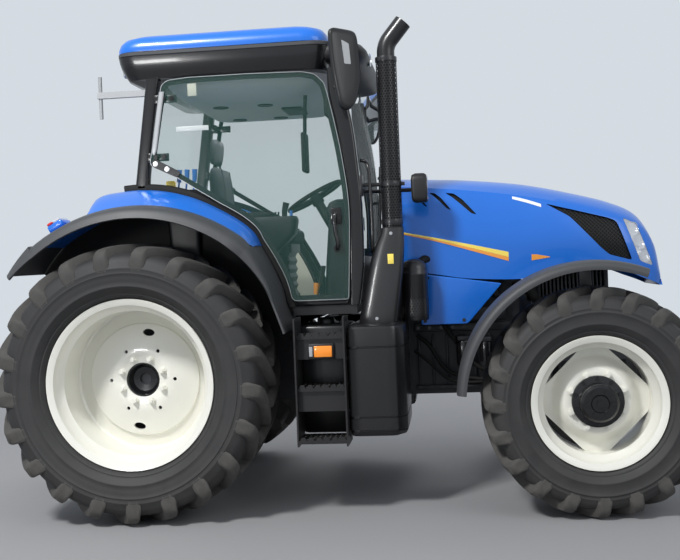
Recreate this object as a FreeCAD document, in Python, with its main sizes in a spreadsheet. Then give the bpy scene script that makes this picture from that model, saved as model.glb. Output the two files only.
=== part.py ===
import FreeCAD, Part
import Sketcher
import math
import os
import re
from FreeCAD import Vector

# Farm tractor, modelled in millimetres: +X forward, +Y to the left, +Z up, ground at Z = 0.
# Every piece is drawn about the rear axle, and its Placement then moves it so that the origin
# lies on the ground at the middle of the whole machine.

doc = FreeCAD.newDocument("FarmTractor")
sheet = doc.addObject("Spreadsheet::Sheet", "Sizes")

# Driving dimensions: name, value in millimetres (degrees or a count where the name says so)
SIZES = (
    ("seat_gap", 0.3),
    ("wheelbase", 2700),
    ("rear_track", 1860),
    ("front_track", 1870),
    ("rear_tyre_radius", 832),
    ("rear_tyre_width", 600),
    ("rear_lug_count", 21),
    ("rear_lug_height", 46),
    ("rear_lug_width", 62),
    ("rear_lug_sweep", 230),
    ("rear_rim_radius", 508),
    ("rear_rim_width", 480),
    ("rear_disc_depth", 340),
    ("rear_face_depth", 268),
    ("rear_face_radius", 190),
    ("rear_hub_bore", 105),
    ("rear_hole_radius", 30),
    ("rear_hole_reach", 290),
    ("front_tyre_radius", 654),
    ("front_tyre_width", 480),
    ("front_lug_count", 20),
    ("front_lug_height", 42),
    ("front_lug_width", 52),
    ("front_lug_sweep", 180),
    ("front_rim_radius", 381),
    ("front_rim_width", 404),
    ("front_disc_depth", 190),
    ("front_face_depth", 110),
    ("front_face_radius", 175),
    ("front_hub_bore", 112),
    ("front_opening_reach", 262),
    ("flange_height", 30),
    ("bead_inset", 18),
    ("flange_wall", 12),
    ("rim_wall", 12),
    ("disc_wall", 14),
    ("axle_tube_radius", 118),
    ("axle_flange_radius", 165),
    ("axle_flange_width", 45),
    ("running_gap", 0.3),
    ("rear_hub_length", 60),
    ("front_hub_length", 130),
    ("kingpin_half_track", 610),
    ("front_beam_height", 150),
    ("front_beam_width", 170),
    ("kingpin_radius", 62),
    ("kingpin_height", 290),
    ("ear_radius", 56),
    ("ear_height", 32),
    ("stub_radius", 95),
    ("guard_clearance", 111),
    ("guard_thickness", 30),
    ("guard_lip_depth", 27),
    ("guard_lip_width", 22),
    ("guard_inset", 65),
    ("guard_reach", 10),
    ("guard_rise", 8),
    ("gearbox_rear", 260),
    ("gearbox_half_width", 190),
    ("gearbox_bottom", 590),
    ("gearbox_top", 1060),
    ("lift_housing_length", 520),
    ("engine_rear", 1400),
    ("engine_to_axle", 370),
    ("engine_half_width", 215),
    ("engine_bottom", 610),
    ("engine_top", 1480),
    ("support_overhang", 430.3),
    ("support_half_width", 190),
    ("support_clearance", 71),
    ("support_top", 1060),
    ("cooler_length", 460),
    ("cooler_setback", 260),
    ("cooler_half_width", 250),
    ("cooler_top", 1560),
    ("carrier_width", 340),
    ("carrier_thickness", 60),
    ("carrier_bottom", 640),
    ("tank_rear", 960),
    ("tank_front", 1611),
    ("tank_bottom", 460),
    ("tank_top", 1121),
    ("tank_inner", 330),
    ("tank_outer", 950),
    ("tank_step_recess", 790),
    ("tank_bevel", 90),
    ("step_rear", 964),
    ("step_width", 302),
    ("step_depth", 250),
    ("step_bottom", 423),
    ("step_top", 1180),
    ("step_plate", 10),
    ("step_inset", 30),
    ("tread_thickness", 20),
    ("tooth_height", 20),
    ("teeth_thickness", 12),
    ("tread_bottom_z", 440),
    ("tread_rise", 306),
    ("floor_bottom", 1185),
    ("floor_thickness", 55),
    ("cab_rear", 60),
    ("cab_front", 1340),
    ("cab_half_width", 745),
    ("cab_narrow_half_width", 585),
    ("cab_waist_x", 925),
    ("bulkhead_thickness", 40),
    ("bulkhead_top", 2008),
    ("pillar_depth", 60),
    ("liner_bottom", 2690),
    ("liner_height", 170),
    ("roof_front", 1200),
    ("roof_rear", 140),
    ("roof_half_width", 785),
    ("roof_height", 125),
    ("visor_reach", 235),
    ("glass_thickness", 12),
    ("door_sill", 1275),
    ("door_gap", 8),
    ("door_hinge_x", 67),
    ("door_hinge_z", 2168),
    ("door_hinge_lean_deg", 10),
    ("fender_inner", 600),
    ("fender_crown_y", 800),
    ("fender_cover_width", 250),
    ("flare_width", 140),
    ("fender_plate", 14),
    ("fender_seam_radius", 1040),
    ("fender_centre_x", 50),
    ("fender_centre_z", 850),
    ("side_rail_width", 42),
    ("door_reveal", 36),
    ("bonnet_wall", 22),
    ("bonnet_hinge_x", 1640),
    ("bonnet_hinge_z", 1960),
    ("bonnet_hinge_half_width", 150),
    ("stack_x", 1553),
    ("stack_y", 700),
    ("stack_pipe_radius", 54),
    ("stack_wall", 4),
    ("shield_radius", 64),
    ("shield_wall", 5),
    ("shield_top", 2729),
    ("stack_bend_z", 2768),
    ("stack_outlet_length", 130),
    ("cover_top", 1700),
    ("cover_thickness", 130),
    ("canister_radius", 85),
    ("canister_x", 1668),
    ("canister_y", 549),
    ("canister_top", 1504),
    ("seat_width", 500),
    ("seat_rear", 300),
    ("seat_length", 480),
    ("seat_height", 1640),
    ("cushion_thickness", 110),
    ("backrest_height", 560),
    ("backrest_thickness", 110),
    ("headrest_height", 200),
    ("headrest_width", 260),
    ("mirror_thickness", 32),
    ("mirror_width", 210),
    ("mirror_height", 490),
    ("mirror_turn_deg", 52),
    ("mirror_setback", 15),
    ("mirror_y", 930),
    ("mirror_z", 2640),
    ("wheel_rim_radius", 200),
    ("wheel_grip_radius", 15),
    ("steering_wheel_x", 985),
    ("steering_wheel_z", 1960),
    ("steering_tilt_deg", 28),
    ("link_pivot_x", 130),
    ("link_pivot_y", 260),
    ("link_pivot_z", 470),
    ("link_eye_x", 950),
    ("link_eye_y", 412.5),
    ("link_eye_radius", 45),
    ("link_eye_width", 45),
    ("link_eye_bore", 14.4),
    ("rockshaft_x", 170),
    ("rockshaft_z", 1090),
    ("rockshaft_radius", 45),
    ("lift_arm_reach", 340),
    ("lift_arm_slope_deg", 20),
    ("lift_arm_y", 250),
    ("lift_arm_width", 28),
    ("rod_foot_reach", 400),
    ("pto_radius", 17.45),
    ("pto_length", 90),
    ("pto_z", 700),
    ("drawbar_z", 430),
    ("drawbar_reach", 780),
    ("drawbar_width", 90),
    ("drawbar_thickness", 32),
    ("drawbar_bore", 16),
)
for row, (alias, number) in enumerate(SIZES, 1):
    sheet.set("A%d" % row, alias)
    sheet.set("B%d" % row, str(number))
    sheet.setAlias("B%d" % row, alias)
doc.recompute()

# Half of what the machine reaches further ahead of the rear axle than behind it
SHIFT = "-(wheelbase + front_tyre_radius - link_eye_x - link_eye_radius) / 2"
ENGINE_FRONT = "wheelbase - engine_to_axle"
SUPPORT_BOTTOM = "front_tyre_radius + front_beam_height / 2 + support_clearance"
RIGHT, LEFT = -1, 1
nodes = []


def cells(expression):
    """Write plain size names as references to the sheet."""
    return re.sub(r"[a-z][a-z_]*", lambda found: "Sizes." + found.group(0), expression)


def size(expression):
    """The present value of an expression of size names."""
    return float(sheet.evalExpression(cells(expression)))


def bind(item, **expressions):
    for name, expression in expressions.items():
        item.setExpression(name.replace("__", "."), cells(expression))


def keep(item, label):
    """Name a finished sub-part and move it to the machine's own origin."""
    item.Label = label
    if item.TypeId == "Part::Feature":
        item.Placement.Base.x += size(SHIFT)
    else:
        bind(item, Placement__Base__x=SHIFT)
    nodes.append(item)
    return item


def origin_plane(body, role):
    return next(item for item in body.Origin.OriginFeatures if item.Role == role)


def outline_sketch(body, plane, outline, start):
    """Closed outline whose corners are bound to the sheet, on a plane set off by start."""
    sketch = body.newObject("Sketcher::SketchObject", body.Name + "Outline")
    sketch.AttachmentSupport = (origin_plane(body, plane), "")
    sketch.MapMode = "FlatFace"
    bind(sketch, AttachmentOffset__Base__z=start)
    corners = [Vector(size(across), size(up), 0) for across, up in outline]
    for corner, following in zip(corners, corners[1:] + corners[:1]):
        sketch.addGeometry(Part.LineSegment(corner, following))
    for side in range(len(corners)):
        sketch.addConstraint(Sketcher.Constraint("Coincident", side, 2, (side + 1) % len(corners), 1))
    for side, (across, up) in enumerate(outline):
        for kind, expression in (("DistanceX", across), ("DistanceY", up)):
            index = sketch.addConstraint(Sketcher.Constraint(kind, side, 1, size(expression)))
            sketch.setExpression("Constraints[%d]" % index, cells(expression))
    return sketch


def pad(name, plane, outline, start, depth):
    """Padded outline. XZ starts to the right of the middle, YZ ahead of the rear axle, XY above ground."""
    body = doc.addObject("PartDesign::Body", name)
    feature = body.newObject("PartDesign::Pad", name + "Pad")
    feature.Profile = outline_sketch(body, plane + "_Plane", outline, start)
    bind(feature, Length=depth)
    body.Tip = feature
    return body


def box_outline(left, bottom, right, top):
    return ((left, bottom), (right, bottom), (right, top), (left, top))


def joined(name, pieces):
    fuse = doc.addObject("Part::MultiFuse", name)
    fuse.Shapes = pieces
    fuse.Refine = True
    return fuse


def together(name, pieces):
    group = doc.addObject("Part::Compound", name)
    group.Links = pieces
    return group


def mirrored(name, piece):
    twin = doc.addObject("Part::Mirroring", name)
    twin.Source = piece
    twin.Normal = (0, 1, 0)
    return twin


def both_sides(name, piece):
    return together(name, [piece, mirrored(name + "Left", piece)])


def shaped(name, shape):
    item = doc.addObject("Part::Feature", name)
    item.Shape = shape
    return item


def flat_faces(corners):
    """One face when four corners lie in a plane, else two triangles."""
    first, second, third, fourth = corners
    normal = (second - first).cross(third - first)
    if normal.Length > 1e-6 and abs(normal.normalize().dot(fourth - first)) < 1e-4:
        return [Part.Face(Part.makePolygon(corners + [first]))]
    loops = ([first, second, third, first], [first, third, fourth, first])
    return [Part.Face(Part.makePolygon(loop)) for loop in loops]


def skin(sections, closed):
    """Solid between like polygons in turn; closed joins the last to the first, else the ends are capped."""
    faces = []
    following = sections[1:] + sections[:1] if closed else sections[1:]
    for near, far in zip(sections, following):
        count = len(near)
        for side in range(count):
            after = (side + 1) % count
            faces += flat_faces([near[side], near[after], far[after], far[side]])
    if not closed:
        faces += [Part.Face(Part.makePolygon(end + end[:1])) for end in (sections[0], sections[-1])]
    solid = Part.Solid(Part.Shell(faces))
    if solid.Volume < 0:
        solid.reverse()
    return solid


def turned(profile, sides):
    """Ring about the Y axis from a closed profile of (radius, place along the axis)."""
    sections = []
    for step in range(sides):
        angle = 2 * math.pi * step / sides
        sections.append([Vector(radius * math.sin(angle), along, radius * math.cos(angle))
                         for radius, along in profile])
    return skin(sections, True)


def arc_points(radius, start_deg, end_deg, steps, centre_x, centre_z):
    """Points (x, z) evenly spaced along an arc seen from the side."""
    angles = [math.radians(start_deg + (end_deg - start_deg) * step / steps) for step in range(steps + 1)]
    return [(centre_x + radius * math.cos(angle), centre_z + radius * math.sin(angle)) for angle in angles]


def arc_band(inner, outer, start_deg, end_deg, near, far, centre_x, centre_z):
    """Part of a ring seen from the side, between two distances to the right, in flat steps."""
    steps = max(2, round(abs(end_deg - start_deg) / 9))
    rim = arc_points(outer, start_deg, end_deg, steps, centre_x, centre_z)
    return side_plate(rim + arc_points(inner, end_deg, start_deg, steps, centre_x, centre_z), near, far)


def side_plate(points, near, far):
    """Plate with a straight-sided outline of (x, z), between two distances to the right."""
    corners = [Vector(x, -near, z) for x, z in points]
    return Part.Face(Part.makePolygon(corners + corners[:1])).extrude(Vector(0, near - far, 0))


def bar(start, end, radius, sides=16):
    """Round bar with flat facets between two points."""
    turn = FreeCAD.Rotation(Vector(0, 0, 1), end - start)
    angles = [2 * math.pi * (step + 0.5) / sides for step in range(sides)]
    rings = [[foot + turn.multVec(Vector(radius * math.cos(angle), radius * math.sin(angle), 0))
              for angle in angles]
             for foot in (start, end)]
    return skin(rings, False)


def block(low, high):
    return Part.makeBox(*(high[axis] - low[axis] for axis in range(3)), Vector(*low))


def mirror_shape(shape):
    return shape.mirror(Vector(0, 0, 0), Vector(0, 1, 0))


# Wheels

def tyre_shape(radius, width, lug_count, lug_height, lug_width, lug_sweep, rim_radius, rim_width):
    """Tyre about the Y axis: flat-sided carcass and two rows of slanting lugs, each fused to it.

    Also gives the turn in degrees that stands one lug's tip on the ground.
    """
    sides = int(lug_count)
    seat_radius = rim_radius - size("flange_height") + size("seat_gap")
    half, seat = width / 2, rim_width / 2 - size("flange_wall + bead_inset + seat_gap")
    crown = radius - lug_height
    bulge = rim_radius + 0.45 * (crown - rim_radius)
    right_half = [(seat_radius, seat), (bulge, half), (crown, half - 14)]
    profile = right_half + [(reach, -along) for reach, along in reversed(right_half)]
    carcass = turned(profile, sides)
    pitch = 2 * math.pi / sides
    root = crown - 0.6 * lug_height
    tip_reach = lug_sweep / 2 + lug_width / 2
    top = math.sqrt(radius ** 2 - tip_reach ** 2)
    lugs = []
    for side in (RIGHT, LEFT):
        rings = []
        for height, bar, outer_end in ((root, lug_width + 26, half - 16), (top, lug_width, half - 22)):
            nose, heel = -side * 0.04 * width, side * outer_end
            front, back = lug_sweep / 2, -lug_sweep / 2
            rings.append([
                Vector(front - bar / 2, nose, height),
                Vector(front + bar / 2, nose, height),
                Vector(back + bar / 2, heel, height),
                Vector(back - bar / 2, heel, height),
            ])
        lug = skin(rings, False)
        offset = 0 if side == RIGHT else pitch / 2
        for step in range(sides):
            copy = lug.copy()
            copy.rotate(Vector(0, 0, 0), Vector(0, 1, 0), math.degrees(step * pitch + offset))
            lugs.append(copy)
    tyre = carcass.multiFuse(lugs)
    return tyre, math.degrees((math.pi - math.atan2(tip_reach, top)) % pitch - pitch)


def rim_shape(rim_radius, rim_width, disc_depth, face_depth, face_radius, bore, sides):
    """Rim and disc about the Y axis, its outer face towards the right at minus half the width."""
    flange, lip = size("flange_height"), size("flange_wall")
    wall, disc, bead = size("rim_wall"), size("disc_wall"), size("bead_inset")
    seat, well = rim_radius - flange, rim_radius - flange - 34
    face = -rim_width / 2
    profile = (
        (rim_radius, face),
        (rim_radius, face + lip),
        (seat, face + lip + bead),
        (well, face + 95),
        (well, -face - 70),
        (seat, -face - lip - bead),
        (rim_radius, -face - lip),
        (rim_radius, -face),
        (seat - wall, -face),
        (well - wall, -face - 70),
        (well - wall, face + disc_depth + disc),
        (face_radius, face + face_depth + disc),
        (bore, face + face_depth + disc),
        (bore, face + face_depth),
        (face_radius, face + face_depth),
        (well - wall, face + disc_depth),
        (well - wall, face + 95),
        (seat - wall, face + 2),
    )
    return turned(profile, int(sides))


def hand_holes(centre_depth):
    """Cutters for the two hand holes in a rear disc, above and below the hub."""
    reach, radius = size("rear_hole_reach"), size("rear_hole_radius")
    return [bar(Vector(0, centre_depth - 90, level * reach), Vector(0, centre_depth + 90, level * reach),
                radius, 10) for level in (-1, 1)]


def disc_openings(rim_radius, near, far, sides):
    """Cutters for the four openings between a front disc's straight edges and its rim."""
    edge = rim_radius - size("flange_height") - 34 - size("rim_wall")
    ring = turned(((100, near), (edge, near), (edge, far), (100, far)), int(sides))
    chord = block((-edge, near, size("front_opening_reach")), (edge, far, 2 * edge))
    cutters = []
    for turn in (45, 135, 225, 315):
        side = chord.copy()
        side.rotate(Vector(0, 0, 0), Vector(0, 1, 0), turn)
        cutters.append(ring.common(side))
    return cutters


def wheel(end, track, axle_x, axle_z, tyre, rim, turn):
    """The same tyre and rim on the right and, mirrored, on the left, both turned about the axle."""
    for side_name, side in (("right", RIGHT), ("left", LEFT)):
        for piece_name, shape in (("tyre", tyre), ("rim", rim)):
            copy = shape.copy() if side == RIGHT else mirror_shape(shape)
            copy.rotate(Vector(0, 0, 0), Vector(0, 1, 0), turn)
            copy.translate(Vector(axle_x, side * track / 2, axle_z))
            item = shaped("%s_%s_%s" % (end, piece_name, side_name), copy)
            keep(item, "%s_%s_%s" % (end, piece_name, side_name))


TYRE_SIZES = ("tyre_radius", "tyre_width", "lug_count", "lug_height", "lug_width", "lug_sweep", "rim_radius",
              "rim_width")


def rear_wheels():
    tyre, turn = tyre_shape(*(size("rear_" + word) for word in TYRE_SIZES))
    rim = rim_shape(*(size("rear_" + word) for word in (
        "rim_radius", "rim_width", "disc_depth", "face_depth", "face_radius", "hub_bore", "lug_count")))
    rim = rim.cut(hand_holes(-size("rear_rim_width / 2") + size("rear_disc_depth")))
    face = -size("rear_rim_width / 2") + size("rear_face_depth + disc_wall + seat_gap")
    flange = turned(((size("rear_face_radius"), face), (size("rear_face_radius"), face + 24), (60, face + 24),
                     (60, face + size("rear_hub_length")), (30, face + size("rear_hub_length")), (30, face)), 16)
    wheel("rear", size("rear_track"), 0, size("rear_tyre_radius"), tyre, Part.makeCompound([rim, flange]), turn)


def front_wheels():
    tyre, turn = tyre_shape(*(size("front_" + word) for word in TYRE_SIZES))
    rim = rim_shape(*(size("front_" + word) for word in (
        "rim_radius", "rim_width", "disc_depth", "face_depth", "face_radius", "hub_bore", "lug_count")))
    face = -size("front_rim_width / 2 - front_face_depth")
    far = -size("front_rim_width / 2") + size("front_disc_depth + disc_wall") + 2
    rim = rim.cut(disc_openings(size("front_rim_radius"), face - 2, far, size("front_lug_count")))
    bore = size("front_hub_bore - seat_gap")
    inner_end = face + size("front_hub_length")
    hub = turned(((bore, face - 95), (bore, face + 60), (70, face + 60), (70, inner_end), (20, inner_end),
                  (20, face - 95)), 16)
    wheel("front", size("front_track"), size("wheelbase"), size("front_tyre_radius"), tyre,
          Part.makeCompound([rim, hub]), turn)


# Driveline and frame

def driveline():
    keep(pad("engine_block", "XZ", box_outline("engine_rear", "engine_bottom", ENGINE_FRONT, "engine_top"),
        "-engine_half_width", "2 * engine_half_width"), "engine_block")
    keep(pad("transmission_housing", "XZ", (
        ("-gearbox_rear", "gearbox_bottom"),
        ("engine_rear - seat_gap", "gearbox_bottom"),
        ("engine_rear - seat_gap", "gearbox_top"),
        ("lift_housing_length - gearbox_rear", "gearbox_top"),
        ("lift_housing_length - gearbox_rear", "floor_bottom - seat_gap"),
        ("-gearbox_rear", "floor_bottom - seat_gap")),
        "-gearbox_half_width", "2 * gearbox_half_width"), "transmission_housing")
    inner = size("gearbox_half_width + seat_gap")
    outer = size("(rear_track + rear_rim_width) / 2 - rear_face_depth - disc_wall - rear_hub_length")
    outer -= size("seat_gap + running_gap")
    axle_z = size("rear_tyre_radius")
    tube = bar(Vector(0, -inner, axle_z), Vector(0, -outer, axle_z), size("axle_tube_radius"), 20)
    flange = bar(Vector(0, -outer + size("axle_flange_width"), axle_z), Vector(0, -outer, axle_z),
                 size("axle_flange_radius"), 20)
    half_axle = tube.fuse(flange)
    keep(shaped("rear_axle", Part.makeCompound([half_axle, mirror_shape(half_axle)])), "rear_axle")
    support = pad("SupportFrame", "XZ", box_outline(
        ENGINE_FRONT + " + seat_gap", SUPPORT_BOTTOM, "wheelbase + support_overhang", "support_top"),
        "-support_half_width", "2 * support_half_width")
    carrier = pad("WeightCarrier", "YZ", box_outline(
        "-carrier_width / 2", "carrier_bottom", "carrier_width / 2", "support_top"),
        "wheelbase + support_overhang", "carrier_thickness")
    hangers = [pad("AxleHanger" + word, "YZ", box_outline(
        "-80", "front_tyre_radius - 60", "80", SUPPORT_BOTTOM), place, "40")
        for word, place in (("Rear", "wheelbase - 160 - seat_gap"), ("Front", "wheelbase + 120 + seat_gap"))]
    keep(joined("front_support", [support, carrier] + hangers), "front_support")
    keep(pad("cooler_pack", "XZ", box_outline(
        "wheelbase - cooler_setback", "support_top + seat_gap", "wheelbase - cooler_setback + cooler_length",
        "cooler_top"), "-cooler_half_width", "2 * cooler_half_width"), "cooler_pack")
    beam = pad("AxleBeam", "YZ", (
        ("-kingpin_half_track + kingpin_radius", "front_tyre_radius - front_beam_height / 2"),
        ("kingpin_half_track - kingpin_radius", "front_tyre_radius - front_beam_height / 2"),
        ("kingpin_half_track - kingpin_radius", "front_tyre_radius + front_beam_height / 2"),
        ("-kingpin_half_track + kingpin_radius", "front_tyre_radius + front_beam_height / 2")),
        "wheelbase - front_beam_width / 2", "front_beam_width")
    reach, pivot_y = size("kingpin_height / 2"), size("kingpin_half_track")
    front_x, front_z = size("wheelbase"), size("front_tyre_radius")
    barrel = shaped("AxlePivot", bar(Vector(front_x - 120, 0, front_z), Vector(front_x + 120, 0, front_z),
                                     size("front_beam_height / 2 - 10")))
    ears = []
    for side in (RIGHT, LEFT):
        for level in (-1, 1):
            foot = Vector(front_x, side * pivot_y, front_z + level * reach)
            boss = bar(foot, foot + Vector(0, 0, level * size("ear_height")), size("ear_radius"))
            base = front_z + min(level * reach, level * (reach + size("ear_height")))
            arm = block((front_x - 50, min(side * pivot_y, side * (pivot_y - 112)), base),
                        (front_x + 50, max(side * pivot_y, side * (pivot_y - 112)), base + size("ear_height")))
            ears.append(shaped("Ear%d%d" % (side > 0, level > 0), boss.fuse(arm)))
    yokes = [pad("Yoke" + word, "YZ", box_outline(low, "front_tyre_radius - kingpin_height / 2 - ear_height", high,
                                                 "front_tyre_radius + kingpin_height / 2 + ear_height"),
                 "wheelbase - 50", "100")
             for word, low, high in (
                 ("Right", "-kingpin_half_track + kingpin_radius + 12", "-kingpin_half_track + kingpin_radius + 50"),
                 ("Left", "kingpin_half_track - kingpin_radius - 50", "kingpin_half_track - kingpin_radius - 12"))]
    keep(joined("front_axle", [beam, barrel] + ears + yokes), "front_axle")


def knuckles():
    """Steered hub carriers between the axle's ears, each with its stub for the wheel."""
    height, pin = size("kingpin_height - 2 * seat_gap"), size("kingpin_radius")
    axle_x, axle_z, pivot_y = size("wheelbase"), size("front_tyre_radius"), size("kingpin_half_track")
    stub_end = size("(front_track + front_rim_width) / 2 - front_face_depth - front_hub_length - running_gap")
    low, high = (Vector(axle_x, -pivot_y, axle_z + end * height / 2) for end in (-1, 1))
    post = bar(low, high, pin)
    stub = bar(Vector(axle_x, -pivot_y, axle_z), Vector(axle_x, -stub_end, axle_z), size("stub_radius"), 20)
    seat = block((axle_x - 50, -pivot_y - pin - 2, axle_z + 60), (axle_x + 50, -pivot_y, axle_z + height / 2))
    carrier = post.fuse([stub, seat])
    for name, side in (("right", RIGHT), ("left", LEFT)):
        keep(shaped("knuckle_" + name, carrier if side == RIGHT else mirror_shape(carrier)), "knuckle_" + name)


def front_fenders():
    """Narrow guards over the front wheels, each carried by an upright from its hub carrier."""
    axle_x, axle_z = size("wheelbase"), size("front_tyre_radius")
    near = size("(front_track - front_tyre_width) / 2 + guard_inset")
    far = size("(front_track + front_tyre_width) / 2 - guard_reach")
    centre_z = axle_z + size("guard_rise")
    under = size("front_tyre_radius + guard_clearance")
    outside, lip_edge = under + size("guard_thickness"), under - size("guard_lip_depth")
    front_end, rear_end, mount = 68, 176, 20
    guard = arc_band(under, outside, front_end, rear_end, near, far, axle_x, centre_z)
    lip = arc_band(lip_edge, outside, front_end, rear_end, far - size("guard_lip_width"), far, axle_x, centre_z)
    foot = size("kingpin_half_track + kingpin_radius + 2 + seat_gap")
    upright = block((axle_x - 45, -foot - 14, axle_z + size("stub_radius + seat_gap")),
                    (axle_x + 45, -foot, centre_z + under + mount))
    tab = block((axle_x - 45, -near - 40, centre_z + under + mount - 15),
                (axle_x + 45, -foot, centre_z + under + mount))
    fender = guard.fuse([lip, upright, tab])
    for name, side in (("right", RIGHT), ("left", LEFT)):
        guard_shape = fender if side == RIGHT else mirror_shape(fender)
        keep(shaped("front_fender_" + name, guard_shape), "front_fender_" + name)


# Cab

FENDER_STATIONS = (
    # angle up from straight ahead, rise of the cab side over the seam, drop of the lip, lip drawn in
    (140, -20, 62, 0),
    (128, 8, 78, 0),
    (110, 14, 80, 0),
    (106, 114, 80, 0),
    (98, 115, 80, 0),
    (88, 104, 80, 0),
    (77, 84, 80, 0),
    (66, 60, 80, 0),
    (57, 48, 80, 0),
    (52, 32, 82, 0),
    (48, 0, 86, 24),
    (40, -38, 96, 52),
    (33, -66, 106, 70),
    (27, -96, 117, 70),
    (21, -112, 124, 70),
    (16, -112, 124, 70),
)
RAIL_STATIONS = [(angle, rise) for angle, rise, drop, draw in FENDER_STATIONS if 27 <= angle <= 98]
HINGE_HEIGHTS = (2560, 2200)
DOOR_STATIONS = [(angle, rise) for angle, rise, drop, draw in FENDER_STATIONS if 27 <= angle <= 66]


def cab_floor():
    floor = pad("CabFloorPlate", "XY", (
        ("cab_rear - 100", "-cab_narrow_half_width"),
        ("cab_waist_x", "-cab_narrow_half_width"),
        ("cab_waist_x", "-cab_half_width"),
        ("cab_front - 20", "-cab_half_width"),
        ("cab_front - 20", "cab_half_width"),
        ("cab_waist_x", "cab_half_width"),
        ("cab_waist_x", "cab_narrow_half_width"),
        ("cab_rear - 100", "cab_narrow_half_width")), "floor_bottom", "floor_thickness")
    wall = pad("CabBulkhead", "YZ", box_outline(
        "-cab_narrow_half_width", "floor_bottom + floor_thickness", "cab_narrow_half_width", "bulkhead_top"),
        "cab_rear - 100", "bulkhead_thickness")
    keep(joined("cab_floor", [floor, wall]), "cab_floor")


def pillars():
    """Curved front and leaning rear posts, one each side."""
    floor, top = size("floor_bottom + floor_thickness + seat_gap"), size("liner_bottom - seat_gap")
    near, far = size("cab_half_width - pillar_depth"), size("cab_half_width + 12")
    front = size("cab_front")
    outline = ((front - 68, floor), (front - 60, 1537), (front - 55, 1850), (front - 80, 2128), (front - 112, 2345),
               (front - 150, 2560), (front - 150, top), (front - 55, top), (front - 40, 2522), (front - 5, 2342),
               (front + 17, 2126), (front + 35, 1847), (front + 34, 1534), (front - 2, floor))
    post = side_plate(outline, near, far)
    keep(shaped("front_pillars", Part.makeCompound([post, mirror_shape(post)])), "front_pillars")
    rear = size("cab_rear")
    shelf = fender_point(*RAIL_STATIONS[0], size("side_rail_width / 2"))[1]
    outline = ((rear - 105, shelf), (rear - 20, shelf), (rear - 5, 2150), (rear + 76, top), (rear - 6, top))
    gap, width = size("seat_gap"), size("side_rail_width")
    along = [fender_point(*station, gap) for station in RAIL_STATIONS]
    foot = [(along[-1][0] + 15, floor), (along[-1][0] + 15 + width, floor)]
    over = [fender_point(*station, width) for station in reversed(RAIL_STATIONS)]
    lugs = [block((hinge_line(z) - 40, -far, z - 30), (hinge_line(z) + 12, -near, z + 30)) for z in HINGE_HEIGHTS]
    post = side_plate(outline, near, far).fuse([side_plate(along + foot + over, near, far)] + lugs)
    keep(shaped("rear_pillars", Part.makeCompound([post, mirror_shape(post)])), "rear_pillars")


def roof():
    bottom, height = size("liner_bottom"), size("liner_height")
    half, rear, front = size("roof_half_width"), size("roof_rear"), size("roof_front")

    def layer(level, inset, rear_end, front_end):
        wide, corner = half - inset, 90
        return [Vector(rear_end + corner, -wide, level), Vector(front_end - corner, -wide, level),
                Vector(front_end, -wide + corner, level), Vector(front_end, wide - corner, level),
                Vector(front_end - corner, wide, level), Vector(rear_end + corner, wide, level),
                Vector(rear_end, wide - corner, level), Vector(rear_end, -wide + corner, level)]

    liner = skin([layer(bottom, 45, -rear + 60, front - 20), layer(bottom + 110, 10, -rear + 10, front + 20),
                  layer(bottom + height, 6, -rear + 6, front + 20)], False)
    visor = skin([layer(bottom + 40, 60, front - 200, front + 0.84 * size("visor_reach")),
                  layer(bottom + 100, 40, front - 200, front + size("visor_reach")),
                  layer(bottom + 205, 60, front - 200, front + 0.7 * size("visor_reach"))], False)
    cap_bottom = bottom + height + size("seat_gap")
    cap_height = size("roof_height")
    cap = skin([layer(cap_bottom, 0, -rear, front),
                layer(cap_bottom + 0.5 * cap_height, 12, -rear - 10, front - 4),
                layer(cap_bottom + 0.85 * cap_height, 70, -rear + 50, front - 60),
                layer(cap_bottom + cap_height, 190, -rear + 180, front - 260)], False)
    slot = block((front - 260, -half, bottom + height - 1), (front + 300, half, bottom + height + 300))
    keep(shaped("roof_liner", liner.fuse(visor.cut(slot)).removeSplitter()), "roof_liner")
    keep(shaped("roof_cap", cap), "roof_cap")


def cab_glass():
    """Windscreen and rear window between the posts."""
    gap, thick = size("seat_gap"), size("glass_thickness")
    half = size("cab_half_width - pillar_depth") - gap
    top, front, rear = size("liner_bottom") - gap, size("cab_front"), size("cab_rear")
    outline = ((front + 20, 1534), (front + 22, 1847), (front + 4, 2126), (front - 20, 2342), (front - 54, 2522),
               (front - 88, top))
    inner = [(x - thick, z) for x, z in reversed(outline)]
    screen = side_plate(list(outline) + inner, -half, half)
    shelf = size("bulkhead_top") + gap
    outline = ((rear - 95, shelf), (rear + 10, top), (rear + 10 + thick, top), (rear - 95 + thick, shelf))
    window = side_plate(outline, -half, half)
    keep(shaped("cab_glass", Part.makeCompound([screen, window])), "cab_glass")


def hinge_line(z):
    """Place along the cab of the doors' leaning hinge line at a height."""
    lean = math.radians(size("door_hinge_lean_deg"))
    return size("door_hinge_x") + (z - size("door_hinge_z")) * math.tan(lean)


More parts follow.
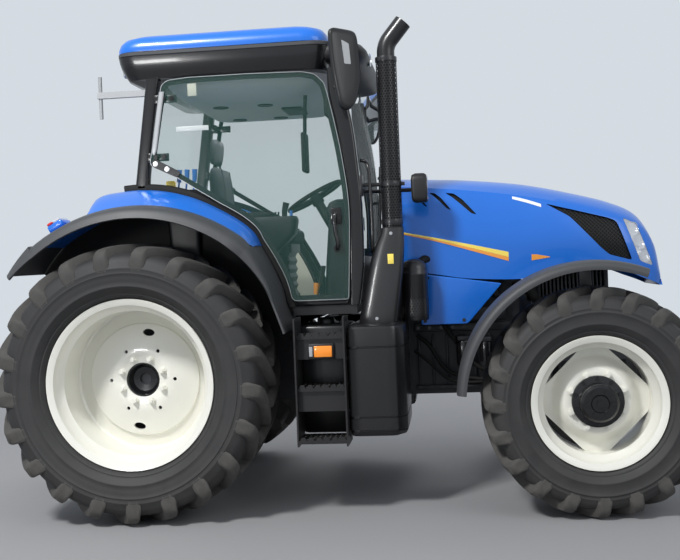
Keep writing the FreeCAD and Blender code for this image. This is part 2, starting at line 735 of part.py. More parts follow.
def doors():
    """Frameless glass doors hinged on the rear posts, with their hinge arms and a grip at the front."""
    thick, gap = size("glass_thickness"), size("door_gap")
    outside = size("cab_half_width") + 12 + size("seat_gap") + 12
    sill, front, top = size("door_sill"), size("cab_front"), size("liner_bottom") - gap
    over_fender = [fender_point(*station, size("door_reveal")) for station in DOOR_STATIONS]
    outline = [(front - 64, sill), (front - 50, 1537), (front - 41, 1850), (front - 70, 2128), (front - 107, 2345),
               (front - 145, 2525), (front - 165, 2600), (front - 300, top - 8), (330, top), (180, top - 16),
               (150, top - 80), (67, 2168), (90, 2140), (225, 2072)] + over_fender
    outline.append((over_fender[-1][0] + 18, sill))
    glass = side_plate(outline, outside, outside + thick)
    face = outside - size("seat_gap")
    plates = []
    for z in HINGE_HEIGHTS:
        hinge = hinge_line(z)
        plates.append(block((hinge + 5, -face, z - 24), (hinge + 110, -face + 11.7, z + 24)))
    grip = side_plate(((front - 125, 1583), (front - 100, 1583), (front - 92, 1777), (front - 117, 1777)),
                      outside + thick + 0.3, outside + thick + 32)
    for name, side in (("right", RIGHT), ("left", LEFT)):
        pieces = [glass, Part.makeCompound(plates + [grip])]
        if side == LEFT:
            pieces = [mirror_shape(piece) for piece in pieces]
        keep(shaped("door_glass_" + name, pieces[0]), "door_glass_" + name)
        keep(shaped("door_fittings_" + name, pieces[1]), "door_fittings_" + name)


def cab_inside():
    gap = size("seat_gap")
    floor = size("floor_bottom + floor_thickness") + gap
    front = size("cab_front")
    half = size("cab_half_width - pillar_depth") - gap
    cowl = side_plate(((front - 60, floor), (front - 5, floor), (front + 25, 1534 - gap), (front - 15, 1534 - gap)),
                      -half, half)
    pedestal = side_plate(((front - 300, floor), (front - 58, floor), (front - 30, 1500), (front - 120, 1800),
                           (front - 250, 1800)), -150, 150)
    centre = Vector(size("steering_wheel_x"), 0, size("steering_wheel_z"))
    ring, grip = size("wheel_rim_radius"), size("wheel_grip_radius")
    tilt = math.radians(size("steering_tilt_deg"))
    axis = Vector(-math.sin(tilt), 0, math.cos(tilt))
    column = bar(centre - axis * 330, centre - axis * 60, 32, 12)
    keep(shaped("dash", cowl.fuse([pedestal, column])), "dash")
    section = [(ring + grip * math.cos(turn), grip * math.sin(turn))
               for turn in (math.radians(60 * step) for step in range(6))]
    hoop = turned(section, 18)
    hoop.Placement = FreeCAD.Placement(centre, FreeCAD.Rotation(Vector(0, 1, 0), axis))
    boss = bar(centre - axis * (60 - gap), centre + axis * 10, 45, 12)
    spokes = []
    for turn in (90, 210, 330):
        spoke = block((0, -14, -8), (ring, 14, 8))
        spoke.rotate(Vector(0, 0, 0), Vector(0, 0, 1), turn)
        lean = FreeCAD.Placement(centre, FreeCAD.Rotation(Vector(0, 0, 1), axis))
        spoke.Placement = lean.multiply(spoke.Placement)
        spokes.append(spoke)
    keep(shaped("steering_wheel", hoop.fuse([boss] + spokes)), "steering_wheel")
    rear, width = size("seat_rear"), size("seat_width")
    low, length = size("seat_height"), size("seat_length")
    pad_thick, back_thick = size("cushion_thickness"), size("backrest_thickness")
    cushion = block((rear + back_thick, -width / 2, low), (rear + back_thick + length, width / 2, low + pad_thick))
    shoulders, lumbar = low + size("backrest_height"), rear + back_thick - gap
    back = side_plate(((lumbar, low + 10), (lumbar, low + 100), (rear + 95, low + 240), (rear + 60, shoulders),
                       (rear - 20, shoulders), (rear, low + 10)), -width / 2 + 20, width / 2 - 20)
    top, sunk = shoulders + size("headrest_height"), 5
    headrest = side_plate(((rear + 20, shoulders - sunk), (rear + 50, top - 10), (rear - 20, top),
                           (rear - 30, shoulders - sunk)),
                          -size("headrest_width / 2"), size("headrest_width / 2"))
    back = back.fuse(headrest).removeSplitter()
    keep(shaped("seat", Part.makeCompound([cushion, back])), "seat")
    base = block((rear + 60, -200, floor), (rear + back_thick + length - 60, 200, low - gap))
    console = block((rear + 120, -440, floor), (rear + 620, -size("seat_width") / 2 - 20, low + 200))
    keep(shaped("operator_console", Part.makeCompound([base, console])), "operator_console")


# Guards, covers and steps

def fender_point(angle, rise, clearance=0):
    """Place (x, z) over the cab-side edge of the rear fender at one of its stations."""
    reach, turn = size("fender_seam_radius") + rise + clearance, math.radians(angle)
    return size("fender_centre_x") + reach * math.cos(turn), size("fender_centre_z") + reach * math.sin(turn)


def fender_skin(stations, profile):
    """Plate whose section at each station is a line of (distance out, radius), as thick as the fender."""
    plate = size("fender_plate")
    sections = []
    for station in stations:
        line = profile(*station)
        last = len(line) - 1
        under = [(out - plate * 0.6 * (place > 1), radius - plate * (0.4 if place == last else 1))
                 for place, (out, radius) in enumerate(line)]
        turn = math.radians(station[0])
        sections.append([Vector(size("fender_centre_x") + radius * math.cos(turn), -out,
                                size("fender_centre_z") + radius * math.sin(turn))
                         for out, radius in line + under[::-1]])
    return skin(sections, False)


def rear_fenders():
    """Painted fenders with inner walls, and grey flares that go right across at their front and rear ends."""
    near, crown, seam_y, lip_y = (size(word) for word in (
        "fender_inner", "fender_crown_y", "fender_crown_y + fender_cover_width",
        "fender_crown_y + fender_cover_width + flare_width"))
    plate, gap, seam = size("fender_plate"), size("seat_gap"), size("fender_seam_radius")

    def painted(angle, rise, drop, draw):
        return [(near, seam + rise), (crown, seam + rise), ((crown + seam_y) / 2, seam + rise * 0.62),
                (seam_y, seam - draw / 2)]

    def outer_end(rise, drop, draw):
        return [(seam_y + 40 - 1.6 * draw, seam + rise - 4 - draw / 4),
                (lip_y - 30 - draw, seam + 0.67 * rise - 0.33 * drop - draw / 7), (lip_y - draw, seam - drop)]

    def flared(angle, rise, drop, draw):
        return [(seam_y + gap, seam - draw / 2)] + outer_end(0, drop, draw)

    def crossing(angle, rise, drop, draw):
        return [(near + plate + gap, seam + rise)] + outer_end(rise, drop, draw)

    front, middle, back = FENDER_STATIONS[10:], FENDER_STATIONS[1:11], FENDER_STATIONS[:2]
    slit = math.degrees(gap / seam)
    inset = [(angle + slit * ((angle == middle[-1][0]) - (angle == middle[0][0])), *rest) for angle, *rest in middle]
    rim = [fender_point(angle, rise, -1) for angle, rise, drop, draw in FENDER_STATIONS]
    hub = arc_points(600, 16, 140, 4, size("fender_centre_x"), size("fender_centre_z"))
    wall = side_plate(rim + hub, near, near + plate)
    fender = fender_skin(inset, painted).fuse(wall)
    keep(shaped("rear_fenders", Part.makeCompound([fender, mirror_shape(fender)])), "rear_fenders")
    flare = fender_skin(middle, flared).fuse([fender_skin(front, crossing), fender_skin(back, crossing)])
    keep(shaped("fender_flares", Part.makeCompound([flare, mirror_shape(flare)])), "fender_flares")


def side_tanks():
    tank = pad("TankBox", "XY", (
        ("tank_rear", "-tank_inner"),
        ("tank_rear", "-tank_step_recess"),
        ("step_rear + step_width + 4", "-tank_step_recess"),
        ("step_rear + step_width + 4", "-tank_outer"),
        ("tank_front - tank_bevel / 2", "-tank_outer"),
        ("tank_front", "-tank_outer + tank_bevel"),
        ("tank_front", "-tank_inner")), "tank_bottom", "tank_top - tank_bottom")
    strap = pad("TankStrap", "XZ", box_outline("tank_rear + 60", "tank_top - 90", "tank_rear + 160", "tank_top"),
                "gearbox_half_width + seat_gap", "tank_inner - gearbox_half_width")
    strap_front = pad("TankStrapFront", "XZ", box_outline(
        "engine_rear + 40", "tank_top - 90", "engine_rear + 140", "tank_top"),
        "engine_half_width + seat_gap", "tank_inner - engine_half_width")
    keep(both_sides("side_tanks", joined("TankHalf", [tank, strap, strap_front])), "side_tanks")


def tread_teeth(start, length, base, far):
    """Row of gripping teeth along a tread's outer edge."""
    count, height = 6, size("tooth_height")
    pitch = length / count
    outline = [(start, base)]
    for tooth in range(count):
        foot = start + tooth * pitch
        outline += [(foot + 0.12 * pitch, base), (foot + 0.34 * pitch, base + height),
                    (foot + 0.78 * pitch, base + height), (foot + 0.94 * pitch, base)]
    outline += [(start + length, base), (start + length, base - 10), (start, base - 10)]
    return side_plate(outline, far - size("teeth_thickness"), far)


def steps():
    near, far = size("tank_step_recess + seat_gap"), size("tank_step_recess + seat_gap + step_depth")
    rear, width, plate = size("step_rear"), size("step_width"), size("step_plate")
    bottom, top = size("step_bottom"), size("step_top")
    pieces = []
    for x in (rear, rear + width - plate):
        pieces.append(side_plate(((x, bottom), (x + plate, bottom), (x + plate, top), (x, top)), near, far))
    for level in range(3):
        z = size("tread_bottom_z") + level * size("tread_rise")
        tread_far = far - level * size("step_inset")
        pieces.append(block((rear, -tread_far, z), (rear + width, -near, z + size("tread_thickness"))))
        pieces.append(tread_teeth(rear + plate, width - 2 * plate, z + size("tread_thickness") - 1, tread_far))
        if level:
            pieces.append(block((rear, -tread_far + 20, z - 120), (rear + width, -tread_far + 20 + plate, z)))
    step = pieces[0].fuse(pieces[1:]).removeSplitter()
    keep(shaped("steps", Part.makeCompound([step, mirror_shape(step)])), "steps")


def exhaust():
    x, y = size("stack_x"), -size("stack_y")
    radius, wall = size("stack_pipe_radius"), size("stack_wall")
    start, bend = size("cover_top + seat_gap"), size("stack_bend_z")
    lean = math.radians(40)
    turn_radius, steps, sides = 130, 4, 12

    def pipe(reach):
        rings = [(Vector(x, y, start), 0.0), (Vector(x, y, bend), 0.0)]
        for step in range(1, steps + 1):
            angle = lean * step / steps
            ahead, up = turn_radius * (1 - math.cos(angle)), turn_radius * math.sin(angle)
            rings.append((Vector(x + ahead, y, bend + up), angle))
        last, angle = rings[-1]
        rings.append((last + Vector(math.sin(angle), 0, math.cos(angle)) * size("stack_outlet_length"), angle))
        around = [2 * math.pi * step / sides for step in range(sides)]
        return skin([[foot + Vector(reach * math.cos(turn) * math.cos(angle), reach * math.sin(turn),
                                    -reach * math.cos(turn) * math.sin(angle)) for turn in around]
                     for foot, angle in rings], False)

    keep(shaped("exhaust_stack", pipe(radius).cut(pipe(radius - wall))), "exhaust_stack")
    outer, shield_wall = size("shield_radius"), size("shield_wall")
    height = size("shield_top") - start
    foot, head = Vector(x, y, start), Vector(x, y, start + height)
    shield = bar(foot, head, outer).cut(bar(foot, head, outer - shield_wall))
    keep(shaped("stack_shield", shield), "stack_shield")
    near = size("stack_y - cover_thickness / 2")
    far = near + size("cover_thickness")
    seat = size("tank_top + seat_gap")
    top = size("cover_top")
    cover = side_plate(((x - 77, top), (x + 70, top), (x + 66, 1560), (x + 10, seat), (x - 229, seat),
                        (x - 120, 1610)), near, far)
    keep(shaped("exhaust_cover", cover), "exhaust_cover")
    can_x, can_y = size("canister_x"), -size("canister_y")
    bottom, can_top, can = size("tank_top + seat_gap"), size("canister_top"), size("canister_radius")
    body = bar(Vector(can_x, can_y, bottom), Vector(can_x, can_y, can_top - 50), can, 20)
    dome = bar(Vector(can_x, can_y, can_top - 60), Vector(can_x, can_y, can_top), can * 0.7, 20)
    arm = block((can_x - 60, can_y, bottom + 90),
                (can_x + 20, -size("engine_half_width + seat_gap"), bottom + 190))
    keep(shaped("canister", body.fuse([dome, arm])), "canister")


def mirrors():
    """Mirror heads turned to the rear on arms from the roof's front corners."""
    half_thick, half_wide, half_tall = (size("mirror_" + word) / 2 for word in ("thickness", "width", "height"))
    head = block((-half_thick, -half_wide, -half_tall), (half_thick, half_wide, half_tall))
    head.rotate(Vector(0, 0, 0), Vector(0, 0, 1), -size("mirror_turn_deg"))
    middle = Vector(size("cab_front - mirror_setback"), -size("mirror_y"), size("mirror_z"))
    head.translate(middle)
    face = -(size("cab_half_width") + 12 + size("seat_gap"))
    low, high, thick = middle.z - 40, middle.z - 10, 12
    arm = block((middle.x - 75, middle.y - 5, low), (middle.x - 40, face, high))
    reach = block((middle.x - 75, middle.y - 15, low), (middle.x + 15, middle.y + 15, high))
    foot = block((middle.x - 95, face - thick, low - 40), (middle.x - 25, face, high + 40))
    piece = head.fuse([arm.fuse(reach), foot])
    keep(shaped("mirrors", Part.makeCompound([piece, mirror_shape(piece)])), "mirrors")


def rear_lamp():
    """Lamp on the painted fender behind the cab, lowered along the fender's radius to just clear it."""
    turn, height, half = 119, 62, 52
    reach = size("fender_seam_radius") + 60
    lamp = block((-half, -1010, 0), (half, -850, height))
    lamp.rotate(Vector(0, 0, 0), Vector(0, 1, 0), 90 - turn)
    outward = Vector(math.cos(math.radians(turn)), 0, math.sin(math.radians(turn)))
    lamp.translate(Vector(size("fender_centre_x"), 0, size("fender_centre_z")) + outward * reach)
    cover = next(item for item in nodes if item.Label == "rear_fenders").Shape.copy()
    cover.translate(Vector(-size(SHIFT), 0, 0))
    for step in range(4):
        lamp.translate(outward * (size("seat_gap") - lamp.distToShape(cover)[0]))
    return lamp


def lamps():
    """Lamp housings: on the fenders' rear, beside the steps, on the cab's front posts and under the visor."""
    gap = size("seat_gap")
    near = size("tank_step_recess + step_depth + 2 * seat_gap - 2 * step_inset") - 20
    marker = block((1068, -near - 30, 943), (1186, -near, 1014))
    face = -(size("cab_half_width") + 12 + gap)
    post = size("cab_front") + 30.4 + gap
    side = block((1673, -700, 1850), (1774, -560, 2029))
    height, thick = 1933, 13
    start, elbow, end = Vector(post + 12, -700, height), Vector(1465, -600, height), Vector(1680, -600, height)
    clamp = block((post, start.y - 15, height - 15), (post + 20, start.y + 15, height + 15))
    arm = clamp.fuse([bar(start, elbow, thick, 12), bar(elbow - Vector(9, 0, 0), end, thick, 12)])
    fixture = side.fuse(arm)
    pieces = [marker, fixture, rear_lamp()]
    keep(shaped("lamps", Part.makeCompound(pieces + [mirror_shape(piece) for piece in pieces])), "lamps")


def beacon_bracket():
    y, low, high, half, tube = -704, 2593, 2631, 19, 11.5
    pole_x = -257
    shelf = fender_point(*RAIL_STATIONS[0], size("side_rail_width / 2"))[1]
    top = size("liner_bottom - seat_gap")
    post_rear = size("cab_rear") - 105 + 99 * (low - shelf) / (top - shelf)
    arm = block((pole_x + 22, y - half, low), (post_rear - size("seat_gap"), y + half, high))
    stem = bar(Vector(pole_x, y, 2466), Vector(pole_x, y, 2600), tube, 12)
    pole = Part.makeCylinder(tube, 100, Vector(pole_x, y, high))
    link = block((pole_x - 18, y - half, low), (pole_x + 22, y + half, high))
    keep(shaped("beacon_bracket", arm.fuse([link, stem, pole])), "beacon_bracket")


# Bonnet

BONNET_SECTIONS = (
    # x, crown z, crease z, crease half width, side half width, lower z
    (1592, 2040, 1969, 395, 455, 1433),
    (2028, 2012, 1925, 392, 452, 1364),
    (2380, 1968, 1872, 386, 446, 1352),
    (2700, 1895, 1800, 375, 432, 1400),
    (2950, 1820, 1728, 345, 400, 1385),
    (3100, 1738, 1655, 300, 345, 1330),
    (3185, 1590, 1540, 262, 300, 1295),
    (3224, 1400, 1375, 225, 255, 1275),
)
GRILLE_WINDOW = ((2504, 1820), (2900, 1712), (2945, 1690), (3035, 1440), (2890, 1481), (2836, 1529), (2652, 1731))
LAMP_WINDOW = ((2985, 1712), (3075, 1672), (3172, 1400), (3085, 1432))
NOSE_WINDOW = ((-124, 1430), (124, 1430), (124, 1640), (-124, 1640))
# Air slots in the flanks: rear end's place and height, length along, fall
BONNET_SLOTS = ((1879, 1916, 195, 148), (1775, 1922, 140, 118), (1665, 1922, 100, 92))
# A slot's curved outline as shares of its length and fall
SLOT_OUTLINE = ((0, 0), (0.27, -0.03), (0.55, -0.32), (1, -1), (0.82, -0.93), (0.48, -0.5), (0.22, -0.2))


def bonnet_form(inset, drop):
    """The bonnet's outside, or the same drawn in by inset and run down by drop."""
    sections = []
    last = len(BONNET_SECTIONS) - 1
    for place, (x, crown, crease, crease_half, side_half, lower) in enumerate(BONNET_SECTIONS):
        edge, shoulder, low = side_half - inset, crease_half - inset, lower - drop
        waist = (crease + lower) / 2 + 50
        reach = x - inset * (place == last) - drop * (place == 0)
        half = [Vector(reach, edge, low), Vector(reach, edge, waist), Vector(reach, shoulder, crease - inset),
                Vector(reach, shoulder * 0.55, crown - inset)]
        sections.append([Vector(at.x, -at.y, at.z) for at in half] + half[::-1])
    return skin(sections, False)


def bonnet_nose_prism(inset):
    """Prism that cuts the front grille's window in the nose, or the grille itself when drawn in."""
    start, length = 3020, 300
    corners = [Vector(start, y - math.copysign(inset, y), z - math.copysign(inset, z - NOSE_WINDOW[0][1] - 1))
               for y, z in NOSE_WINDOW]
    return Part.Face(Part.makePolygon(corners + corners[:1])).extrude(Vector(length, 0, 0))


def bonnet():
    """Long shell, open below and behind, with windows in its flanks for grilles and lamps."""
    wall, gap = size("bonnet_wall"), size("seat_gap")
    hollow = bonnet_form(wall, 60)
    shell = bonnet_form(0, 0).cut(hollow)
    liner = bonnet_form(6, 0).cut(hollow)
    for x, z, length, fall in BONNET_SLOTS:
        slot = side_plate([(x + along * length, z + down * fall) for along, down in SLOT_OUTLINE], 150, 600)
        shell = shell.cut([slot, mirror_shape(slot)])
    nose = bonnet_nose_prism(0)
    shell = shell.cut(nose)
    front_grille = liner.common(bonnet_nose_prism(3 * gap))
    fitted = {}
    for name, window in (("grille_panels", GRILLE_WINDOW), ("headlamps", LAMP_WINDOW)):
        middle = [sum(point[axis] for point in window) / len(window) for axis in (0, 1)]
        shrunk = []
        for point in window:
            away = math.dist(point, middle)
            shrunk.append(tuple(centre + (at - centre) * (away - 3 * gap) / away
                                for at, centre in zip(point, middle)))
        sides = [side_plate(window, 150, 600), mirror_shape(side_plate(window, 150, 600))]
        shell = shell.cut(sides)
        right = liner.common(side_plate(shrunk, 150, 600))
        fitted[name] = Part.makeCompound([right, mirror_shape(right)] + [front_grille] * (name == "grille_panels"))
    hinge_x, hinge_z, half = size("bonnet_hinge_x"), size("bonnet_hinge_z"), size("bonnet_hinge_half_width")
    ear = block((hinge_x - 22, -half - gap - 16, hinge_z - 22), (hinge_x + 22, -half - gap, hinge_z + 80))
    ear = ear.common(bonnet_form(4, 60))
    shell = shell.fuse([ear, mirror_shape(ear)])
    keep(shaped("bonnet_shell", shell), "bonnet_shell")
    for name, shape in fitted.items():
        keep(shaped(name, shape), name)


def bonnet_hinge():
    """Posts on the engine that carry the bonnet's hinge tube."""
    x, z, half = size("bonnet_hinge_x"), size("bonnet_hinge_z"), size("bonnet_hinge_half_width")
    foot = size("engine_top + seat_gap")
    tube = bar(Vector(x, -half, z), Vector(x, half, z), 16, 12)
    posts = [block((x - 20, side * half - 30 * (side > 0), foot), (x + 20, side * half + 30 * (side < 0), z))
             for side in (RIGHT, LEFT)]
    keep(shaped("bonnet_hinge", tube.fuse(posts)), "bonnet_hinge")


def side_panels():
    near, far, thick = size("engine_half_width + seat_gap"), 445, 14
    plate = side_plate(((1696, 1080), (1992, 1080), (2215, 1328), (1726, 1404)), far - thick, far)
    lug = block((1760, 5 - far, 1180), (1860, -near, 1230))
    panel = plate.fuse(lug)
    keep(shaped("side_panels", Part.makeCompound([panel, mirror_shape(panel)])), "side_panels")


# Rear linkage

def rear_linkage():
    """Drawbar, power take-off, lower links with eyes, lift arms on a cross shaft and rods hanging from them."""
    gap = size("seat_gap")
    rear = -size("gearbox_rear") - gap
    under = size("gearbox_bottom") - gap
    pto = Part.makeCylinder(size("pto_radius"), size("pto_length"), Vector(rear, 0, size("pto_z")), Vector(-1, 0, 0))
    window = block((rear - 31, -70, 640), (rear + 1, 70, 760))
    plate = block((rear - 30, -150, 600), (rear, 150, 1000)).cut(window)
    pivot_x, pivot_y, pivot_z = -size("link_pivot_x"), size("link_pivot_y"), size("link_pivot_z")
    half = size("link_eye_width") / 2
    bracket = block((pivot_x - 40, -pivot_y + half + gap, pivot_z - 40), (pivot_x + 40, -140, under))
    keep(shaped("hitch_frame", Part.makeCompound([plate, pto, bracket, mirror_shape(bracket)])), "hitch_frame")
    reach, width = size("drawbar_reach"), size("drawbar_width")
    thick, z = size("drawbar_thickness"), size("drawbar_z")
    tongue = block((-reach, -width / 2, z), (100, width / 2, z + thick))
    hanger = block((-200, -width / 2 - 20, z), (-100, width / 2 + 20, under))
    eye = Part.makeCylinder(size("drawbar_bore"), 3 * thick, Vector(-reach + 45, 0, z - thick))
    keep(shaped("drawbar", tongue.fuse(hanger).cut(eye)), "drawbar")
    eye_x, eye_y, ring = -size("link_eye_x"), size("link_eye_y"), size("link_eye_radius")
    bore = Part.makeCylinder(size("link_eye_bore"), 4 * half, Vector(eye_x, -eye_y + 2 * half, pivot_z),
                             Vector(0, -1, 0))
    end = bar(Vector(eye_x, -eye_y + half, pivot_z), Vector(eye_x, -eye_y - half, pivot_z), ring, 12)
    hub = bar(Vector(pivot_x, -pivot_y + half, pivot_z), Vector(pivot_x, -pivot_y - half, pivot_z), 40, 12)
    foot = [Vector(x, y + lean, pivot_z + rise) for x, y in ((pivot_x - 20, -pivot_y), (eye_x + 25, -eye_y))
            for lean, rise in ((-14, -36), (14, -36), (14, 36), (-14, 36))]
    arm = skin([foot[:4], foot[4:]], False)
    link = end.fuse([hub, arm]).cut(bore)
    keep(shaped("lower_links", Part.makeCompound([link, mirror_shape(link)])), "lower_links")
    shaft = Vector(-size("rockshaft_x"), 0, size("rockshaft_z"))
    slope = math.radians(size("lift_arm_slope_deg"))
    head = shaft - Vector(math.cos(slope), 0, math.sin(slope)) * size("lift_arm_reach")
    arm_near, arm_far = size("lift_arm_y - lift_arm_width / 2"), size("lift_arm_y + lift_arm_width / 2")
    stub = bar(shaft - Vector(0, size("gearbox_half_width") + gap, 0), shaft - Vector(0, arm_near + 1, 0),
               size("rockshaft_radius"))
    boss = bar(shaft - Vector(0, arm_near, 0), shaft - Vector(0, arm_far, 0), size("rockshaft_radius") + 15)
    tip = bar(head - Vector(0, arm_near, 0), head - Vector(0, arm_far, 0), 32)
    web = side_plate(((shaft.x, shaft.z - 48), (shaft.x, shaft.z + 48), (head.x, head.z + 28),
                      (head.x, head.z - 28)), arm_near, arm_far)
    lift_arm = stub.fuse([boss, tip, web])
    keep(shaped("lift_arms", Part.makeCompound([lift_arm, mirror_shape(lift_arm)])), "lift_arms")
    rod_y = arm_far + gap + 14
    low = Vector(pivot_x - size("rod_foot_reach"), -rod_y, pivot_z)
    top = Vector(head.x, -rod_y, head.z)
    rod = bar(low, top, 13, 12).fuse([bar(at + Vector(0, 14, 0), at - Vector(0, 10, 0), 30) for at in (low, top)])
    keep(shaped("lift_rods", Part.makeCompound([rod, mirror_shape(rod)])), "lift_rods")


cab_floor()
pillars()
roof()
cab_glass()
doors()
cab_inside()
rear_fenders()
side_tanks()
steps()
exhaust()
mirrors()
lamps()
beacon_bracket()
bonnet()
bonnet_hinge()
side_panels()
rear_linkage()
rear_wheels()
front_wheels()
driveline()
knuckles()
front_fenders()
doc.recompute()

os.makedirs("parts", exist_ok=True)
for item in doc.Objects:
    if "Invalid" in item.State or "Error" in item.State:
        raise RuntimeError("%s did not build: %s" % (item.Label, item.State))
for item in nodes:
    if item.Shape.isNull() or not item.Shape.isValid():
        raise RuntimeError("%s has no valid shape" % item.Label)
for item in nodes:
    item.Shape.exportStep("parts/%s.step" % item.Label)
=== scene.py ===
import math
import bmesh
import bpy
from mathutils import Matrix, Vector


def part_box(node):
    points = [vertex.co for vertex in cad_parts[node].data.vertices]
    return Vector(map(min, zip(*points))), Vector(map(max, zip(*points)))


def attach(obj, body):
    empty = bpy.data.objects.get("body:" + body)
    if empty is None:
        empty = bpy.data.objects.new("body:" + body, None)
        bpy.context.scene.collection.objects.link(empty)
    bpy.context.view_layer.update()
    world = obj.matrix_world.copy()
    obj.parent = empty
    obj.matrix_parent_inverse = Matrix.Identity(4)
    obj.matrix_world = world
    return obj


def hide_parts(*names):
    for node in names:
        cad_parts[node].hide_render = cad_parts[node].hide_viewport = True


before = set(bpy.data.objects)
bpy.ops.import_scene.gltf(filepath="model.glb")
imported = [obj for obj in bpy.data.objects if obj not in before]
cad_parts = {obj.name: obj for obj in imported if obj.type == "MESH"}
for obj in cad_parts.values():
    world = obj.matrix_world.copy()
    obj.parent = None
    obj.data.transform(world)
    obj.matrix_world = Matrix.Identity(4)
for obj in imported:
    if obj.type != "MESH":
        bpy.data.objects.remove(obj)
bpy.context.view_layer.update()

# Places are in metres from the ground under the rear axle: +X forward, +Y to the left, +Z up.
axle_low, axle_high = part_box("rear_axle")
AXLE_X = (axle_low.x + axle_high.x) / 2
beam_low, beam_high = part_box("front_axle")
WHEELBASE = (beam_low.x + beam_high.x) / 2 - AXLE_X
REAR_TRACK, FRONT_TRACK = 1.86, 1.87
REAR_TYRE_RADIUS, FRONT_TYRE_RADIUS = 0.832, 0.654
ENGINE_SIDE, ROOF_HALF = 0.2155, 0.785
RIGHT, LEFT = -1, 1
SIDES = (("right", RIGHT), ("left", LEFT))

PAINT_BLUE = (0.006, 0.140, 0.60)
RIM_CREAM = (0.83, 0.82, 0.74)
RUBBER_BLACK = (0.024, 0.024, 0.025)
PLASTIC_GREY = (0.050, 0.052, 0.055)
PLASTIC_BLACK = (0.012, 0.012, 0.013)
METAL_BLACK = (0.013, 0.013, 0.015)
CAST_DARK = (0.018, 0.020, 0.025)
STEEL = (0.55, 0.56, 0.57)
STRIPE_YELLOW = (0.92, 0.72, 0.12)
STRIPE_ORANGE = (0.85, 0.33, 0.05)
AMBER = (0.95, 0.28, 0.02)
DUST = (0.28, 0.26, 0.23)
SKY_SHOWN = (0.66, 0.71, 0.76)


# Materials

def fed(tree, target, values):
    """Set a shader node's inputs, each to a value or linked to another node's output."""
    for name, value in values.items():
        if isinstance(value, bpy.types.NodeSocket):
            tree.links.new(value, target.inputs[name])
        else:
            target.inputs[name].default_value = value
    return target


def shader_node(tree, kind, values, output, **settings):
    """Output of a new shader node with its settings and inputs."""
    made = tree.nodes.new("ShaderNode" + kind)
    for name, value in settings.items():
        setattr(made, name, value)
    return fed(tree, made, values).outputs[output]


def shader(name, colour, rough, metal=0.0, coat=0.0, mottle=0.06, mottle_size=0.35, grain=0.0,
           grain_size=0.004, dust=0.0, alpha=1.0, specular=0.5, glow=0.0):
    """Procedural surface: cloudy colour and gloss, fine grain as bump, and dust that thins out upwards."""
    material = bpy.data.materials.new(name)
    material.use_nodes = True
    tree = material.node_tree
    place = shader_node(tree, "TexCoord", {}, "Object")
    cloud = shader_node(tree, "TexNoise", {"Scale": 1 / mottle_size, "Detail": 6, "Vector": place}, "Fac")
    darker, lighter = ((*(min(1, part * share) for part in colour), 1) for share in (1 - mottle, 1 + mottle))
    shade = shader_node(tree, "Mix", {"A": darker, "B": lighter, "Factor": cloud}, "Result", data_type="RGBA")
    if dust:
        height = shader_node(tree, "SeparateXYZ", {"Vector": place}, "Z")
        fall = shader_node(tree, "MapRange", {"From Min": 0.0, "From Max": 1.5, "To Min": dust,
                                              "To Max": 0.05 * dust, "Value": height}, "Result")
        film = shader_node(tree, "Math", {0: fall, 1: cloud}, "Value", operation="MULTIPLY")
        shade = shader_node(tree, "Mix", {"A": shade, "B": (*DUST, 1), "Factor": film}, "Result",
                            data_type="RGBA")
    sheen = shader_node(tree, "MapRange", {"To Min": rough * 0.85, "To Max": min(1, rough * 1.2),
                                           "Value": cloud}, "Result")
    surface = fed(tree, tree.nodes["Principled BSDF"], {
        "Metallic": metal, "Coat Weight": coat, "Coat Roughness": 0.06, "Specular IOR Level": specular,
        "Alpha": alpha, "Base Color": shade, "Roughness": sheen})
    if glow:
        fed(tree, surface, {"Emission Color": (*colour, 1), "Emission Strength": glow})
    if grain:
        fine = shader_node(tree, "TexNoise", {"Scale": 1 / grain_size, "Detail": 3, "Vector": place}, "Fac")
        bump = shader_node(tree, "Bump", {"Distance": grain, "Strength": 0.6, "Height": fine}, "Normal")
        fed(tree, surface, {"Normal": bump})
    return material


